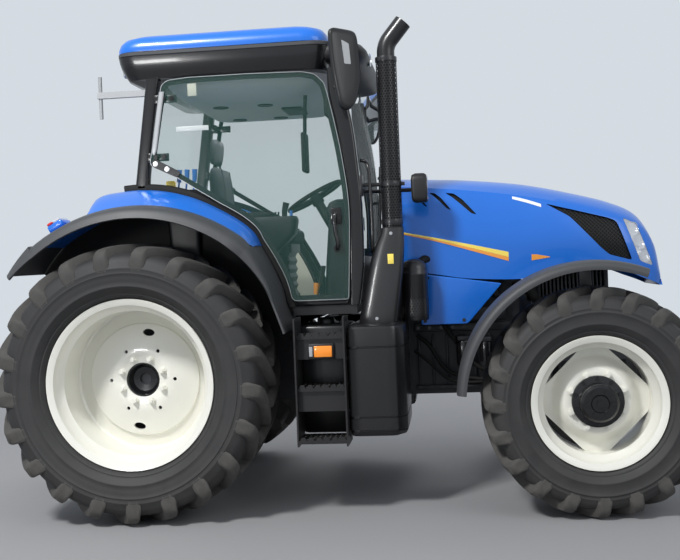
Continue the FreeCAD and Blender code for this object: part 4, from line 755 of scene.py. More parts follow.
def bonnet_half(row):
    """Right half of one section, from mid crown down to the lower edge, as (across, height)."""
    crown, crease, crease_half, side_half, lower = row[1:]
    line = []
    for step in range(CROWN_STEPS):
        part = step / CROWN_STEPS
        line.append((crease_half * part, crease + (crown - crease) * (1 - part ** 2.8)))
    for step in range(FLANK_STEPS + 1):
        part = step / FLANK_STEPS
        swell = math.sin(min(1, part * 1.7) * math.pi / 2) ** 0.8
        tuck = 0.012 * max(0, part - 0.6) / 0.4
        line.append((crease_half + (side_half - crease_half) * swell - tuck,
                     crease + (lower - crease) * part))
    return line


def flank(x, z, proud=0.0):
    """Point on the bonnet's right flank at a place and height, stood off by a little."""
    rows = between(BONNET, BONNET_ROWS)
    near = max([row for row in rows if row[0] <= x], key=lambda row: row[0], default=rows[0])
    far = min([row for row in rows if row[0] > x], key=lambda row: row[0], default=rows[-1])
    part = 0 if far[0] == near[0] else (x - near[0]) / (far[0] - near[0])
    line = bonnet_half([a + (b - a) * part for a, b in zip(near, far)])[CROWN_STEPS:]
    across = line[-1][0]
    for (y_high, z_high), (y_low, z_low) in zip(line, line[1:]):
        if z_low <= z <= z_high:
            across = y_high + (y_low - y_high) * (z_high - z) / (z_high - z_low)
            break
    return at(x, -across - proud, z)


def bonnet_sheet(name, inset, depth):
    """The bonnet's outside as a sheet, drawn in by inset and as thick as depth."""
    sheet_rows = []
    for row in between(BONNET, BONNET_ROWS):
        half = bonnet_half(row)
        sheet_rows.append([at(row[0], -across, height) for across, height in reversed(half)]
                          + [at(row[0], across, height) for across, height in half[1:]])
    nose = sheet_rows[-1]
    form = Form().grid(sheet_rows).grid([nose, [Vector((point.x, point.y, BONNET[-1][5])) for point in nose]])
    bmesh.ops.remove_doubles(form.mesh, verts=form.mesh.verts, dist=0.0005)
    bmesh.ops.recalc_face_normals(form.mesh, faces=form.mesh.faces[:])
    item = form.thing(name)
    if inset:
        modified(item, "DISPLACE", strength=-inset, mid_level=0)
    return thickened(item, depth)


def window_cutters(window, corner=0.02):
    """Prisms through the left and the right flank of the bonnet."""
    cutter = Form().plate(rounded(window, corner, 3), -0.60, -0.15)
    return [cutter.copied().other_side(), cutter]


def nose_cutter(inset=0.0):
    """Prism through the front of the bonnet."""
    opening = corners(-0.124 + inset, 0.124 - inset, 1.430 + inset, 1.640 - inset)
    return Form().loft([[at(x, y, z) for y, z in rounded(opening, 0.03, 3)] for x in (3.02, 3.32)])


def in_window(name, window, corner, inset, depth, look, replaces=()):
    """Part of the bonnet's surface that lies in a window, drawn in by inset, on the left and the right."""
    for side_name, place in zip(("left", "right"), window_cutters(window, corner)):
        sheet = carved(bonnet_sheet(name + side_name, inset, depth), [place], "INTERSECT")
        dressed(sheet, look, "bonnet", replaces)


def decal(name, look, upper, lower, proud=0.0016):
    """Thin strip on both flanks between two lines of (x, z)."""
    lines = between(upper, 24), between(lower, 24)
    middle = [((a[0] + b[0]) / 2, (a[1] + b[1]) / 2) for a, b in zip(*lines)]
    rows = [[flank(x, z, proud) for x, z in line] for line in (lines[0], middle, lines[1])]
    dressed(thickened(Form().grid(rows).mirrored().thing(name), 0.0012), look, "bonnet")


def meshed(name, window, spacing, depth, width=0.0035):
    """Diagonal bars over a window in the right flank, and the same on the left."""
    form = Form()
    xs, zs = zip(*window)
    tall = max(zs) - min(zs)
    for lean in (1, -1):
        for step in range(int((max(xs) - min(xs) + tall) / spacing) + 1):
            run = []
            for part in range(41):
                z = min(zs) + tall * part / 40
                start = step * spacing - tall + z - min(zs)
                x = min(xs) + start if lean == 1 else max(xs) - start
                if within((x, z), window):
                    run.append((x, z))
            if len(run) > 2:
                form.grid([[flank(x + shift, z, -depth) for x, z in run]
                           for shift in (-width / 2, width / 2)])
    dressed(thickened(form.mirrored().thing(name), 0.003), "black", "bonnet")


def within(point, outline):
    """Whether a point lies inside a closed outline."""
    x, z = point
    inside = False
    for (x_start, z_start), (x_end, z_end) in zip(outline, outline[1:] + outline[:1]):
        if (z_start > z) != (z_end > z):
            if x < (x_end - x_start) * (z - z_start) / (z_end - z_start) + x_start:
                inside = not inside
    return inside


def bonnet():
    """Painted shell with its windows and slots, grilles, lamps and stripes."""
    shell = bonnet_sheet("bonnet_skin", 0, 0.012)
    slots = [[(x + along * length, z + down * fall) for along, down in SLOT_OUTLINE]
             for x, z, length, fall in BONNET_SLOTS]
    cutters = window_cutters(GRILLE_WINDOW) + window_cutters(LAMP_WINDOW) + [nose_cutter()]
    for slot in slots:
        cutters += window_cutters(slot, 0.012)
    carved(shell, cutters)
    dressed(shell, "paint", "bonnet", ("bonnet_shell",), 32)
    for index, window in enumerate([GRILLE_WINDOW] + slots):
        in_window("bonnet_backing_%d_" % index, drawn_in(window, -0.02), 0.02, 0.020, 0.003, "seal",
                  () if index else ("grille_panels",))
    nose = carved(bonnet_sheet("nose_backing", 0.024, 0.003), [nose_cutter(-0.012)], "INTERSECT")
    dressed(nose, "seal", "bonnet")
    meshed("flank_mesh", GRILLE_WINDOW, 0.024, 0.010)
    bars = Form()
    for level in range(7):
        z = 1.448 + level * 0.029
        x = 3.212 - 0.20 * (level / 6) ** 1.2 * 0.45
        bars.block((x - 0.020, -0.122, z), (x - 0.008, 0.122, z + 0.008), 0.002)
    bars.piece("nose_bars", "black", body="bonnet")
    headlamps()
    for strip in STRIPS:
        decal(*strip)


def headlamps():
    """Clear cover over a dark housing with a bright bowl and three round lamps."""
    in_window("headlamp_cover_", drawn_in(LAMP_WINDOW, 0.002), 0.018, 0.0015, 0.003, "lens", ("headlamps",))
    in_window("headlamp_back_", drawn_in(LAMP_WINDOW, -0.015), 0.02, 0.034, 0.004, "chrome")
    bowls, bulbs = Form(), Form()
    for x, z, radius in ((3.052, 1.640, 0.040), (3.088, 1.552, 0.042), (3.118, 1.462, 0.036)):
        place = flank(x, z, -0.012)
        bowls.bowl(place, (0.45, -1, 0.1), radius, 0.024)
        bulbs.tube([place + Vector(shift) for shift in ((-0.008, 0.018, -0.002), (-0.004, 0.008, 0),
                                                        (0, 0.002, 0))], 0.016, 16, 0.004)
    bowls.mirrored().piece("headlamp_bowls", "chrome", body="bonnet", smooth=60)
    bulbs.mirrored().piece("headlamp_bulbs", "lens", body="bonnet", smooth=60)


# Roof and fenders

def roof():
    """Painted roof cap with rounded edges, over the dark trim and visor of the liner."""
    rear, front, bottom, height = -0.140, 1.200, 2.8603, 0.125
    # Share of the height, drawn in at the sides and at the ends
    levels = ((0.0, 0.004, 0.0), (0.18, 0.0, 0.002), (0.45, 0.010, 0.012), (0.68, 0.032, 0.035),
              (0.84, 0.075, 0.08), (0.94, 0.150, 0.15), (0.99, 0.260, 0.28), (1.0, 0.420, 0.46))
    cap = Form().centred([(bottom + height * share, rear + end, front - end, ROOF_HALF - inset)
                          for share, inset, end in levels], 0.16, 7)
    cap.piece("roof_shell", "paint", ("roof_cap",), smooth=50)


FENDER_CENTRE = (0.050, 0.850)
FENDER_SEAM, FENDER_WALL, FENDER_SKIN = 1.040, 0.602, 0.012
# Angle up from straight ahead, rise of the cab side over the seam, drop of the lip, lip drawn in
FENDER = (
    (140, -0.020, 0.062, 0), (128, 0.008, 0.078, 0), (110, 0.014, 0.080, 0), (106, 0.114, 0.080, 0),
    (98, 0.115, 0.080, 0), (88, 0.104, 0.080, 0), (77, 0.084, 0.080, 0), (66, 0.060, 0.080, 0),
    (57, 0.048, 0.080, 0), (52, 0.032, 0.082, 0), (48, 0, 0.086, 0.024), (40, -0.038, 0.096, 0.052),
    (33, -0.066, 0.106, 0.070), (27, -0.096, 0.117, 0.070), (21, -0.112, 0.124, 0.070),
    (16, -0.112, 0.124, 0.070),
)


def fender_place(angle, reach, out):
    """Place over the right rear wheel at an angle, a reach from the fender's centre and a distance out."""
    turn = math.radians(angle)
    return at(FENDER_CENTRE[0] + reach * math.cos(turn), -out, FENDER_CENTRE[1] + reach * math.sin(turn))


def fender_sheet(name, stations, section, look, replaces=()):
    """Sheet through a section of (out, reach) at each station, on both sides."""
    rows = []
    for angle, *sizes in between(stations, 5 * len(stations)):
        rows.append([fender_place(angle, reach, out) for out, reach in between(section(*sizes), 13)])
    item = thickened(Form().grid(rows).mirrored().thing(name), FENDER_SKIN)
    dressed(item, look, "tractor", replaces, 50)


def rear_fenders():
    """Painted fender tops, the grey flares outside them and across their ends."""
    crown, seam_y, lip = 0.80, 1.05, 1.19

    def painted(rise, drop, draw):
        return [(FENDER_WALL, FENDER_SEAM + rise), (crown, FENDER_SEAM + rise),
                (0.925, FENDER_SEAM + rise * 0.62), (seam_y, FENDER_SEAM - draw / 2)]

    def outer_end(rise, drop, draw):
        return [(seam_y + 0.040 - 1.6 * draw, FENDER_SEAM + rise - 0.004 - draw / 4),
                (lip - 0.030 - draw, FENDER_SEAM + 0.67 * rise - 0.33 * drop - draw / 7),
                (lip - draw, FENDER_SEAM - drop)]

    def flared(rise, drop, draw):
        return [(seam_y + 0.001, FENDER_SEAM - draw / 2)] + outer_end(0, drop, draw)

    def crossing(rise, drop, draw):
        return [(0.616, FENDER_SEAM + rise)] + outer_end(rise, drop, draw)

    fender_sheet("fender_skin", FENDER[1:11], painted, "paint", ("rear_fenders",))
    fender_sheet("flare_side", FENDER[1:11], flared, "grey", ("fender_flares",))
    fender_sheet("flare_front", FENDER[10:], crossing, "grey")
    fender_sheet("flare_rear", FENDER[:2], crossing, "grey")
    rows = [[fender_place(row[0], reach, FENDER_WALL) for reach in (0.600, FENDER_SEAM + row[1] - 0.002)]
            for row in between(FENDER, 60)]
    dressed(thickened(Form().grid(rows).mirrored().thing("fender_walls"), FENDER_SKIN), "seal")


def front_fenders():
    """Grey guards with a turned-down outer lip, on uprights from the steered hub carriers."""
    near, far, centre_z = 0.760, 1.165, FRONT_TYRE_RADIUS + 0.008
    start, sweep, steps = 68, 108, 48
    section = ((near, 0.768), (near + 0.004, 0.784), (near + 0.02, 0.792), (0.90, 0.796), (1.03, 0.796),
               (far - 0.05, 0.793), (far - 0.018, 0.785), (far, 0.765), (far, 0.740))
    for side_name, side in SIDES:
        body = "knuckle_" + side_name
        rows = []
        for step in range(steps + 1):
            turn = math.radians(start + sweep * step / steps)
            rows.append([at(WHEELBASE + reach * math.cos(turn), side * out, centre_z + reach * math.sin(turn))
                         for out, reach in between(section, 24)])
        guard = thickened(Form().grid(rows).thing("front_guard_" + side_name), 0.014)
        dressed(guard, "grey", body, ("front_fender_" + side_name,), 50)
        stay = Form().column([(z, WHEELBASE - half, WHEELBASE + half, -0.6883, -0.6743) for z, half in (
            (0.7493, 0.045), (1.100, 0.045), (1.300, 0.036), (1.4465, 0.036))], 0.005, 2)
        stay.block((WHEELBASE - 0.045, -0.800, 1.4325), (WHEELBASE + 0.045, -0.6744, 1.4470), 0.004)
        for z in (0.800, 0.870, 0.940):
            stay.bolt(at(WHEELBASE, -0.6883, z), (0, -1, 0), 0.026, 0.012)
        if side == LEFT:
            stay.other_side()
        stay.piece("front_guard_stay_" + side_name, "metal", (), body, 45)


# Cab

# Front post: height, rear and front edge
FRONT_POST = ((1.2403, 1.272, 1.338), (1.400, 1.277, 1.362), (1.537, 1.280, 1.374), (1.850, 1.285, 1.375),
              (2.128, 1.260, 1.357), (2.345, 1.228, 1.335), (2.522, 1.195, 1.300), (2.6897, 1.190, 1.285))
POST_NEAR, POST_FAR, FLOOR_TOP, LINER_BOTTOM = 0.685, 0.757, 1.2403, 2.6897
ON_FLOOR = FLOOR_TOP + 0.0003
DOOR_INNER, DOOR_OUTER, DOOR_SILL = 0.7693, 0.7813, 1.275
HINGE_HEIGHTS = (2.560, 2.200)
# Section of the rail over the fender: share of its depth, distance across
RAIL_SECTION = ((0, -POST_FAR), (0.7, -POST_FAR), (1, -POST_FAR + 0.012), (1, -POST_NEAR), (0, -POST_NEAR))


def hinge_line(z):
    """Place along the cab of the doors' leaning hinge line at a height."""
    foot, foot_height, lean = 0.067, 2.168, math.radians(10)
    return foot + (z - foot_height) * math.tan(lean)


def rail_point(angle, rise, over):
    """Place and height over the fender's edge against the cab."""
    turn, reach = math.radians(angle), FENDER_SEAM + rise + over
    return FENDER_CENTRE[0] + reach * math.cos(turn), FENDER_CENTRE[1] + reach * math.sin(turn)


def pillars():
    """Curved front posts, and rear posts that run into the rails over the fenders and down to the floor."""
    posts = Form().column([(*level, -POST_FAR, -POST_NEAR) for level in between(FRONT_POST, 36)], 0.022)
    posts.mirrored().piece("front_posts", "enamel", ("front_pillars",), smooth=50)
    shelf = rail_point(98, 0.115, 0.021)[1]
    form = Form().column([(*level, -POST_FAR, -POST_NEAR) for level in (
        (shelf, -0.045, 0.040), (2.100, -0.032, 0.048), (2.150, -0.025, 0.055),
        (LINER_BOTTOM, 0.054, 0.136))], 0.020)
    rings, lining, depth = [], [], 0.042
    for angle, rise in between([row[:2] for row in FENDER[4:14]], 48):
        near, far = rail_point(angle, rise, 0.0003), rail_point(angle, rise, depth)
        rings.append([at(near[0] + (far[0] - near[0]) * part, y, near[1] + (far[1] - near[1]) * part)
                      for part, y in RAIL_SECTION])
        x, z = rail_point(angle, rise, -0.006)
        if z > FLOOR_TOP + 0.004 and x > 0.005:
            lining.append([at(x, -0.584, height) for height in (FLOOR_TOP + 0.0005, z)])
    low = rail_point(27, -0.096, 0)[0] + 0.015
    rings.append([at(low + depth * part, y, FLOOR_TOP) for part, y in RAIL_SECTION])
    Form().loft(rings).mirrored().piece("door_rails", "seal", smooth=50)
    dressed(thickened(Form().grid(lining).mirrored().thing("cab_lining"), 0.004), "trim")
    for z in HINGE_HEIGHTS:
        form.block((hinge_line(z) - 0.040, -POST_FAR, z - 0.030),
                   (hinge_line(z) + 0.012, -POST_NEAR, z + 0.030))
    form.block((0.935, -0.756, FLOOR_TOP + 0.0005), (1.268, -0.700, 1.271), 0.008)
    form.mirrored().piece("rear_posts", "enamel", ("rear_pillars",), smooth=50)


def door_outline():
    """Closed outline of a door's glass, its front edge bowed and its lower edge following the fender."""
    front = between(((1.276, DOOR_SILL), (1.290, 1.537), (1.299, 1.850), (1.270, 2.128), (1.233, 2.345),
                     (1.195, 2.525), (1.175, 2.600)), 30)
    top = [(1.120, 2.655), (1.040, 2.674), (0.700, 2.682), (0.330, 2.682), (0.200, 2.672), (0.160, 2.645),
           (0.150, 2.602)]
    rear = [(0.067, 2.168), (0.074, 2.150), (0.090, 2.140), (0.160, 2.102), (0.225, 2.072)]
    low = [rail_point(angle, rise, 0.036) for angle, rise in between([row[:2] for row in FENDER[7:14]], 36)]
    return [tuple(point) for point in front] + top + rear + low + [(low[-1][0] + 0.018, DOOR_SILL)]


def doors():
    """Frameless panes with a printed black border, a silver band that paints the glint on the glass's edge,
    hinge arms with bolts and a grip.
    """
    outline = rounded(door_outline(), 0.02, 3)
    face = -DOOR_OUTER
    right = (0, -1, 0)
    for side_name, side in SIDES:
        pane = Form().plate(outline, face, face + 0.006)
        border = Form().band(drawn_in(outline, 0.003), 0.030, face + 0.0062, -DOOR_INNER)
        # Silver band round the pane: a painted highlight for the glint along the glass's edge.
        edge = Form().band(outline, 0.0035, face - 0.0014, face + 0.0002)
        arms, bright = Form(), Form()
        for z in HINGE_HEIGHTS:
            start = hinge_line(z) + 0.005
            arms.block((start, -0.7568, z - 0.024), (start + 0.105, -0.7455, z + 0.024), 0.003)
            for shift in (0.030, 0.082):
                arms.bolt(at(start + shift, face, z), right, 0.020, 0.008)
        plate = [(0.072, 2.160), (0.100, 2.190), (0.262, 2.100), (0.238, 2.066), (0.092, 2.136)]
        arms.plate(rounded(plate, 0.012), face - 0.006, face - 0.0003)
        for x, z in ((0.104, 2.158), (0.176, 2.122)):
            bright.bolt(at(x, face - 0.006, z), right, 0.022, 0.009)
        strip = between([(0.162, 2.600), (0.130, 2.420), (0.098, 2.235)], 12)
        levels = [(z, x - 0.016, x + 0.018, face - 0.012, face - 0.0004) for x, z in strip]
        levels.append((2.212, 0.090, 0.102, face - 0.008, face - 0.0004))
        cap = Form().column(levels[::-1], 0.010)
        grip = Form().block((1.186, face - 0.010, 1.735), (1.250, face - 0.0003, 1.835), 0.004)
        grip.tube([at(x, face - y, z) for x, y, z in between((
            (1.218, 0.008, 1.800), (1.214, 0.024, 1.796), (1.208, 0.032, 1.760), (1.214, 0.030, 1.680),
            (1.226, 0.028, 1.620), (1.222, 0.022, 1.592), (1.214, 0.002, 1.584)), 20)], 0.013)
        grip.rod((1.218, face, 1.800), (1.218, face - 0.024, 1.800), 0.022, 20)
        grip.rod((1.214, face, 1.586), (1.214, face - 0.014, 1.586), 0.020, 16)
        for form, name, look, replaces in (
                (pane, "door_pane_", "glass", ("door_glass_" + side_name,)),
                (border, "door_border_", "seal", ()), (edge, "door_edge_glint_", "silver", ()),
                (arms, "door_arms_", "enamel", ("door_fittings_" + side_name,)),
                (bright, "door_bolts_", "steel", ()), (cap, "door_strip_", "silver", ()),
                (grip, "door_grip_", "enamel", ())):
            if side == LEFT:
                form.other_side()
            form.piece(name + side_name, look, replaces, "door_" + side_name, 45)


def screens():
    """Bowed windscreen with its black border, flat rear window and a wiper."""
    line = between(((1.360, 1.534), (1.362, 1.847), (1.344, 2.126), (1.320, 2.342), (1.286, 2.522),
                    (1.252, LINER_BOTTOM)), 24)
    half, bow, border = 0.6847, 0.060, 0.007
    spread = [-1, -0.985, -0.9, -0.7, -0.4, 0, 0.4, 0.7, 0.9, 0.985, 1]

    def bowed(x, z, parts):
        return [at(x + bow * (1 - part ** 2), part * half, z) for part in parts]

    screen = Form().grid([bowed(x, z, spread) for x, z in line]).thing("windscreen")
    dressed(thickened(screen, 0.006), "glass", replaces=("cab_glass",))
    borders = Form()
    for parts, first, last in (((-0.955, -1), 0, 24), ((0.955, 1), 0, 24), (spread, 0, 2), (spread, 22, 24)):
        borders.grid([bowed(x - border, z, parts) for x, z in line[first:last]])
    dressed(thickened(borders.thing("windscreen_border"), 0.003), "seal")
    pane = [(-0.035, 2.0083), (0.070, LINER_BOTTOM), (0.076, LINER_BOTTOM), (-0.029, 2.0083)]
    Form().plate(pane, -half, half).piece("rear_window", "glass")
    arms = Form()
    arms.tube([at(1.402, -0.30, 1.560), at(1.428, -0.10, 1.590), at(1.425, 0.16, 1.980)], 0.008, 8)
    arms.rod((1.418, 0.10, 1.830), (1.424, 0.24, 2.160), 0.009, 6)
    arms.piece("wiper", "black")


def headliner():
    """Roof underside with its trim line and front visor, work lamps, and the light ceiling inside."""
    # Name, look, replaced solid, corner radius, steps in a corner, smoothing, levels
    for name, look, replaces, corner, steps, smooth, levels in (
            ("roof_underside", "enamel", ("roof_liner",), 0.12, 8, 60, (
                (2.6903, -0.080, 1.180, 0.740), (2.730, -0.104, 1.196, 0.755), (2.770, -0.120, 1.208, 0.768),
                (2.800, -0.128, 1.216, 0.775), (2.832, -0.133, 1.220, 0.778))),
            ("roof_trim", "grey", (), 0.14, 8, 40, (
                (2.8325, -0.132, 1.218, 0.777), (2.837, -0.137, 1.222, 0.782), (2.855, -0.138, 1.223, 0.783),
                (2.860, -0.132, 1.218, 0.777))),
            ("roof_visor", "black", (), 0.20, 8, 60, (
                (2.728, 1.000, 1.360, 0.675), (2.738, 1.000, 1.400, 0.710), (2.765, 1.000, 1.425, 0.735),
                (2.792, 1.000, 1.435, 0.743), (2.820, 1.000, 1.425, 0.737), (2.850, 1.000, 1.400, 0.720),
                (2.860, 1.000, 1.375, 0.705))),
            ("roof_brow", "black", (), 0.12, 6, 60, (
                (2.8605, 1.206, 1.372, 0.695), (2.880, 1.206, 1.352, 0.675), (2.893, 1.206, 1.310, 0.635),
                (2.895, 1.206, 1.260, 0.585)))):
        Form().centred(levels, corner, steps).piece(name, look, replaces, smooth=smooth)
    bowls, covers = Form(), Form()
    for y in (-0.60, -0.40, 0.40, 0.60):
        place = at(1.4335 - 0.32 * max(0, abs(y) - 0.5), y, 2.792)
        bowls.bowl(place, (1, 0.25 * y, 0), 0.040, 0.030)
        covers.tube([place - Vector((0.004, 0, 0)), place + Vector((0.001, 0, 0))], 0.040, 28)
    for side in (RIGHT, LEFT):
        place = at(1.330, side * 0.742, 2.790)
        bowls.bowl(place, (0.35, side, 0), 0.036, 0.028)
        covers.tube([place - Vector((0, side * 0.004, 0)), place + Vector((0, side * 0.001, 0))], 0.036, 28)
        place = at(-0.118, side * 0.62, 2.770)
        bowls.bowl(place, (-1, 0, -0.1), 0.042, 0.030)
        covers.tube([place, place - Vector((0.004, 0, 0))], 0.042, 28)
    bowls.piece("work_lamp_bowls", "chrome", smooth=60)
    covers.piece("work_lamp_covers", "lens", smooth=60)
    ceiling = Form().centred([
        (2.560, 0.300, 0.960, 0.420), (2.575, 0.230, 1.040, 0.520), (2.620, 0.170, 1.120, 0.610),
        (2.660, 0.140, 1.160, 0.645), (2.6895, 0.130, 1.170, 0.655)], 0.14, 6)
    ceiling.piece("ceiling", "liner", smooth=60)
    vents = Form()
    for x in (0.42, 0.72):
        for y in (-0.30, 0.30):
            for ring in (0.052, 0.036, 0.020):
                vents.rod((x, y, 2.5590), (x, y, 2.5545 - 0.03 * (0.052 - ring)), ring, 24)
    vents.block((0.80, -0.16, 2.548), (0.94, 0.16, 2.559), 0.006)
    vents.piece("ceiling_vents", "seal", smooth=45)


def dashboard():
    """Cowl and pedestal with an instrument hood, the side screen, pedals and the floor mat."""
    form = Form().column([(z, rear, front, -0.6840, 0.6840) for z, rear, front in (
        (ON_FLOOR, 1.282, 1.334), (1.400, 1.300, 1.348), (1.500, 1.318, 1.358),
        (1.5335, 1.328, 1.362))], 0.02)
    form.column([(z, rear, front, -0.146, 0.146) for z, rear, front in (
        (ON_FLOOR, 1.045, 1.278), (1.320, 1.046, 1.276), (1.500, 1.058, 1.290), (1.640, 1.072, 1.262),
        (1.760, 1.084, 1.226), (1.800, 1.094, 1.212))], 0.045, 5)
    form.column([(1.7995, 1.080, 1.236, -0.170, 0.170), (1.850, 1.070, 1.240, -0.185, 0.185),
                 (1.905, 1.100, 1.232, -0.180, 0.180), (1.925, 1.140, 1.215, -0.150, 0.150)], 0.040, 5)
    form.rod((1.140, 0, 1.669), (1.013, 0, 1.9071), 0.032, 20)
    form.piece("dashboard", "black", ("dash",), smooth=45)
    glow = Form()
    glow.loft([[at(x, y, z) for x, y, z in ((1.0825 - out, -0.150, 1.846), (1.0825 - out, 0.150, 1.846),
                                            (1.1125 - out, 0.145, 1.904), (1.1125 - out, -0.145, 1.904))]
               for out in (0, 0.004)])
    glow.piece("instrument_glass", "mirror")
    screen = Form().block((0.990, -0.600, 2.080), (1.020, -0.440, 2.330), 0.010)
    screen.tube([at(1.008, -0.520, 2.330), at(1.020, -0.560, 2.480), at(1.030, -0.580, 2.560)], 0.012, 10)
    screen.block((1.150, -0.640, 2.420), (1.176, -0.470, 2.530), 0.008)
    screen.piece("side_screen", "seal", smooth=45)
    mat = Form().block((0.300, -0.560, ON_FLOOR), (1.040, 0.560, 1.250), 0.004)
    for y in (-0.30, -0.18, 0.18):
        mat.block((1.000, y - 0.035, 1.300), (1.016, y + 0.035, 1.400), 0.004)
        mat.rod((1.030, y, 1.350), (1.050, y * 0.8, 1.480), 0.010, 8)
    mat.piece("floor_mat", "seal", smooth=45)


def steering():
    """Rim, three spokes and boss, on the steering column's leaning axis."""
    centre, tilt = at(0.985, 0, 1.960), math.radians(28)
    axis = Vector((-math.sin(tilt), 0, math.cos(tilt)))
    ahead = Vector((math.cos(tilt), 0, math.sin(tilt)))
    across = Vector((0, 1, 0))
    form = Form()
    rings = []
    for step in range(64):
        turn = 2 * math.pi * step / 64
        out = math.cos(turn) * ahead + math.sin(turn) * across
        rings.append([centre + 0.200 * out + 0.0145 * (math.cos(lap) * out + math.sin(lap) * axis)
                      for lap in (2 * math.pi * count / 12 for count in range(12))])
    form.loft(rings, joined=True)
    for turn in (90, 210, 330):
        out = math.cos(math.radians(turn)) * ahead + math.sin(math.radians(turn)) * across
        form.tube([centre - axis * 0.012 + out * 0.030, centre - axis * 0.006 + out * 0.120,
                   centre + out * 0.194], 0.013, 10)
    form.loft([[centre + axis * level + reach * (math.cos(lap) * ahead + math.sin(lap) * across)
                for lap in (2 * math.pi * count / 28 for count in range(28))]
               for level, reach in ((-0.0597, 0.042), (-0.020, 0.045), (0.004, 0.043), (0.010, 0.030))])
    dressed(form.thing("steering_rim"), "seal", "steering_wheel", ("steering_wheel",), smooth=50)


def consoles():
    """Seat suspension, armrest console with its stick and levers, and the blue levers behind."""
    form = Form()
    levels = []
    for step in range(11):
        inset = 0.012 * (step % 2)
        levels.append((1.300 + step * 0.028, 0.380 + inset, 0.820 - inset, -0.190 + inset, 0.190 - inset))
    base = [(z, 0.370, 0.828, -0.198, 0.198) for z in (ON_FLOOR, 1.295)]
    form.column(base + levels, 0.03)
    form.centred([(z, 0.362, 0.838, 0.210) for z in (1.5800, 1.6396)], 0.03)
    form.column([(z, rear, front, near, -0.275) for z, rear, front, near in (
        (ON_FLOOR, 0.520, 0.700, -0.400), (1.480, 0.535, 0.720, -0.400), (1.580, 0.500, 0.770, -0.415),
        (1.650, 0.440, 0.850, -0.430), (1.700, 0.425, 0.900, -0.438), (1.790, 0.422, 0.915, -0.436),
        (1.815, 0.430, 0.905, -0.430))], 0.045, 5)
    form.column([(z, rear, front, -0.640, -0.560) for z, rear, front in (
        (1.500, 0.140, 0.330), (1.900, 0.110, 0.330), (2.000, 0.110, 0.340))], 0.03)
    form.piece("seat_console", "black", ("operator_console",), smooth=45)
    rest = Form().column([
        (1.816, 0.440, 0.760, -0.425, -0.320), (1.832, 0.434, 0.766, -0.430, -0.315),
        (1.845, 0.440, 0.760, -0.424, -0.321), (1.850, 0.460, 0.740, -0.410, -0.335)], 0.035, 5)
    rest.tube([at(x, -0.372, z) for x, z in ((0.830, 1.812), (0.832, 1.850), (0.840, 1.885), (0.846, 1.905))],
              0.017, 14, 0.022)
    for x in (0.775, 0.795):
        rest.rod((x, -0.410, 1.812), (x + 0.004, -0.410, 1.845), 0.006, 8)
    rest.piece("armrest", "seal", smooth=50)
    knobs = Form()
    for x in (0.190, 0.240, 0.290):
        knobs.rod((x, -0.600, 2.000), (x + 0.010, -0.605, 2.060), 0.006, 8)
        knobs.tube([at(x + 0.008, -0.604, 2.052), at(x + 0.012, -0.606, 2.075), at(x + 0.014, -0.607, 2.115),
                    at(x + 0.015, -0.607, 2.130)], 0.014, 12, 0.017)
    knobs.rod((0.880, -0.410, 1.812), (0.882, -0.410, 1.850), 0.010, 10)
    knobs.piece("blue_levers", "lever", smooth=50)
    yellow = Form().block((0.120, -0.640, 2.015), (0.175, -0.585, 2.062), 0.008)
    yellow.piece("yellow_cap", "stripe")
    knob = Form().tube([at(1.020, -0.400, 1.300), at(1.026, -0.398, 1.345), at(1.030, -0.396, 1.372)],
                       0.016, 14, 0.024)
    knob.piece("orange_knob", "orange", smooth=50)
    sticker = Form().block((0.322, -0.7690, 2.567), (0.378, -0.7672, 2.646), 0.0004)
    dressed(sticker.thing("bare_sticker"), "trim", "door_right")
    sign = Form().block((0.240, -0.7690, 2.352), (0.445, -0.7672, 2.382), 0.0004)
    dressed(sign.thing("bare_label"), "white", "door_right")


def swollen(item, cap, frames=20):
    """Inflate a closed pad by cloth simulation, with no point moved further than the cap."""
    change = item.modifiers.new("remesh", "REMESH")
    change.mode = "VOXEL"
    change.voxel_size = 0.010
    settled(item)
    before = [corner.co.copy() for corner in item.data.vertices]
    cloth = item.modifiers.new("pressure", "CLOTH")
    cloth.settings.use_pressure = True
    cloth.settings.uniform_pressure_force = 4
    cloth.settings.effector_weights.gravity = 0
    scene = bpy.context.scene
    cloth.point_cache.frame_start, cloth.point_cache.frame_end = 1, frames
    for frame_number in range(1, frames + 1):
        scene.frame_set(frame_number)
    settled(item)
    scene.frame_set(1)
    for corner, start in zip(item.data.vertices, before):
        moved = corner.co - start
        if moved.length > cap:
            corner.co = start + moved.normalized() * cap
    change = item.modifiers.new("smooth", "SUBSURF")
    change.levels = 1
    return settled(item)


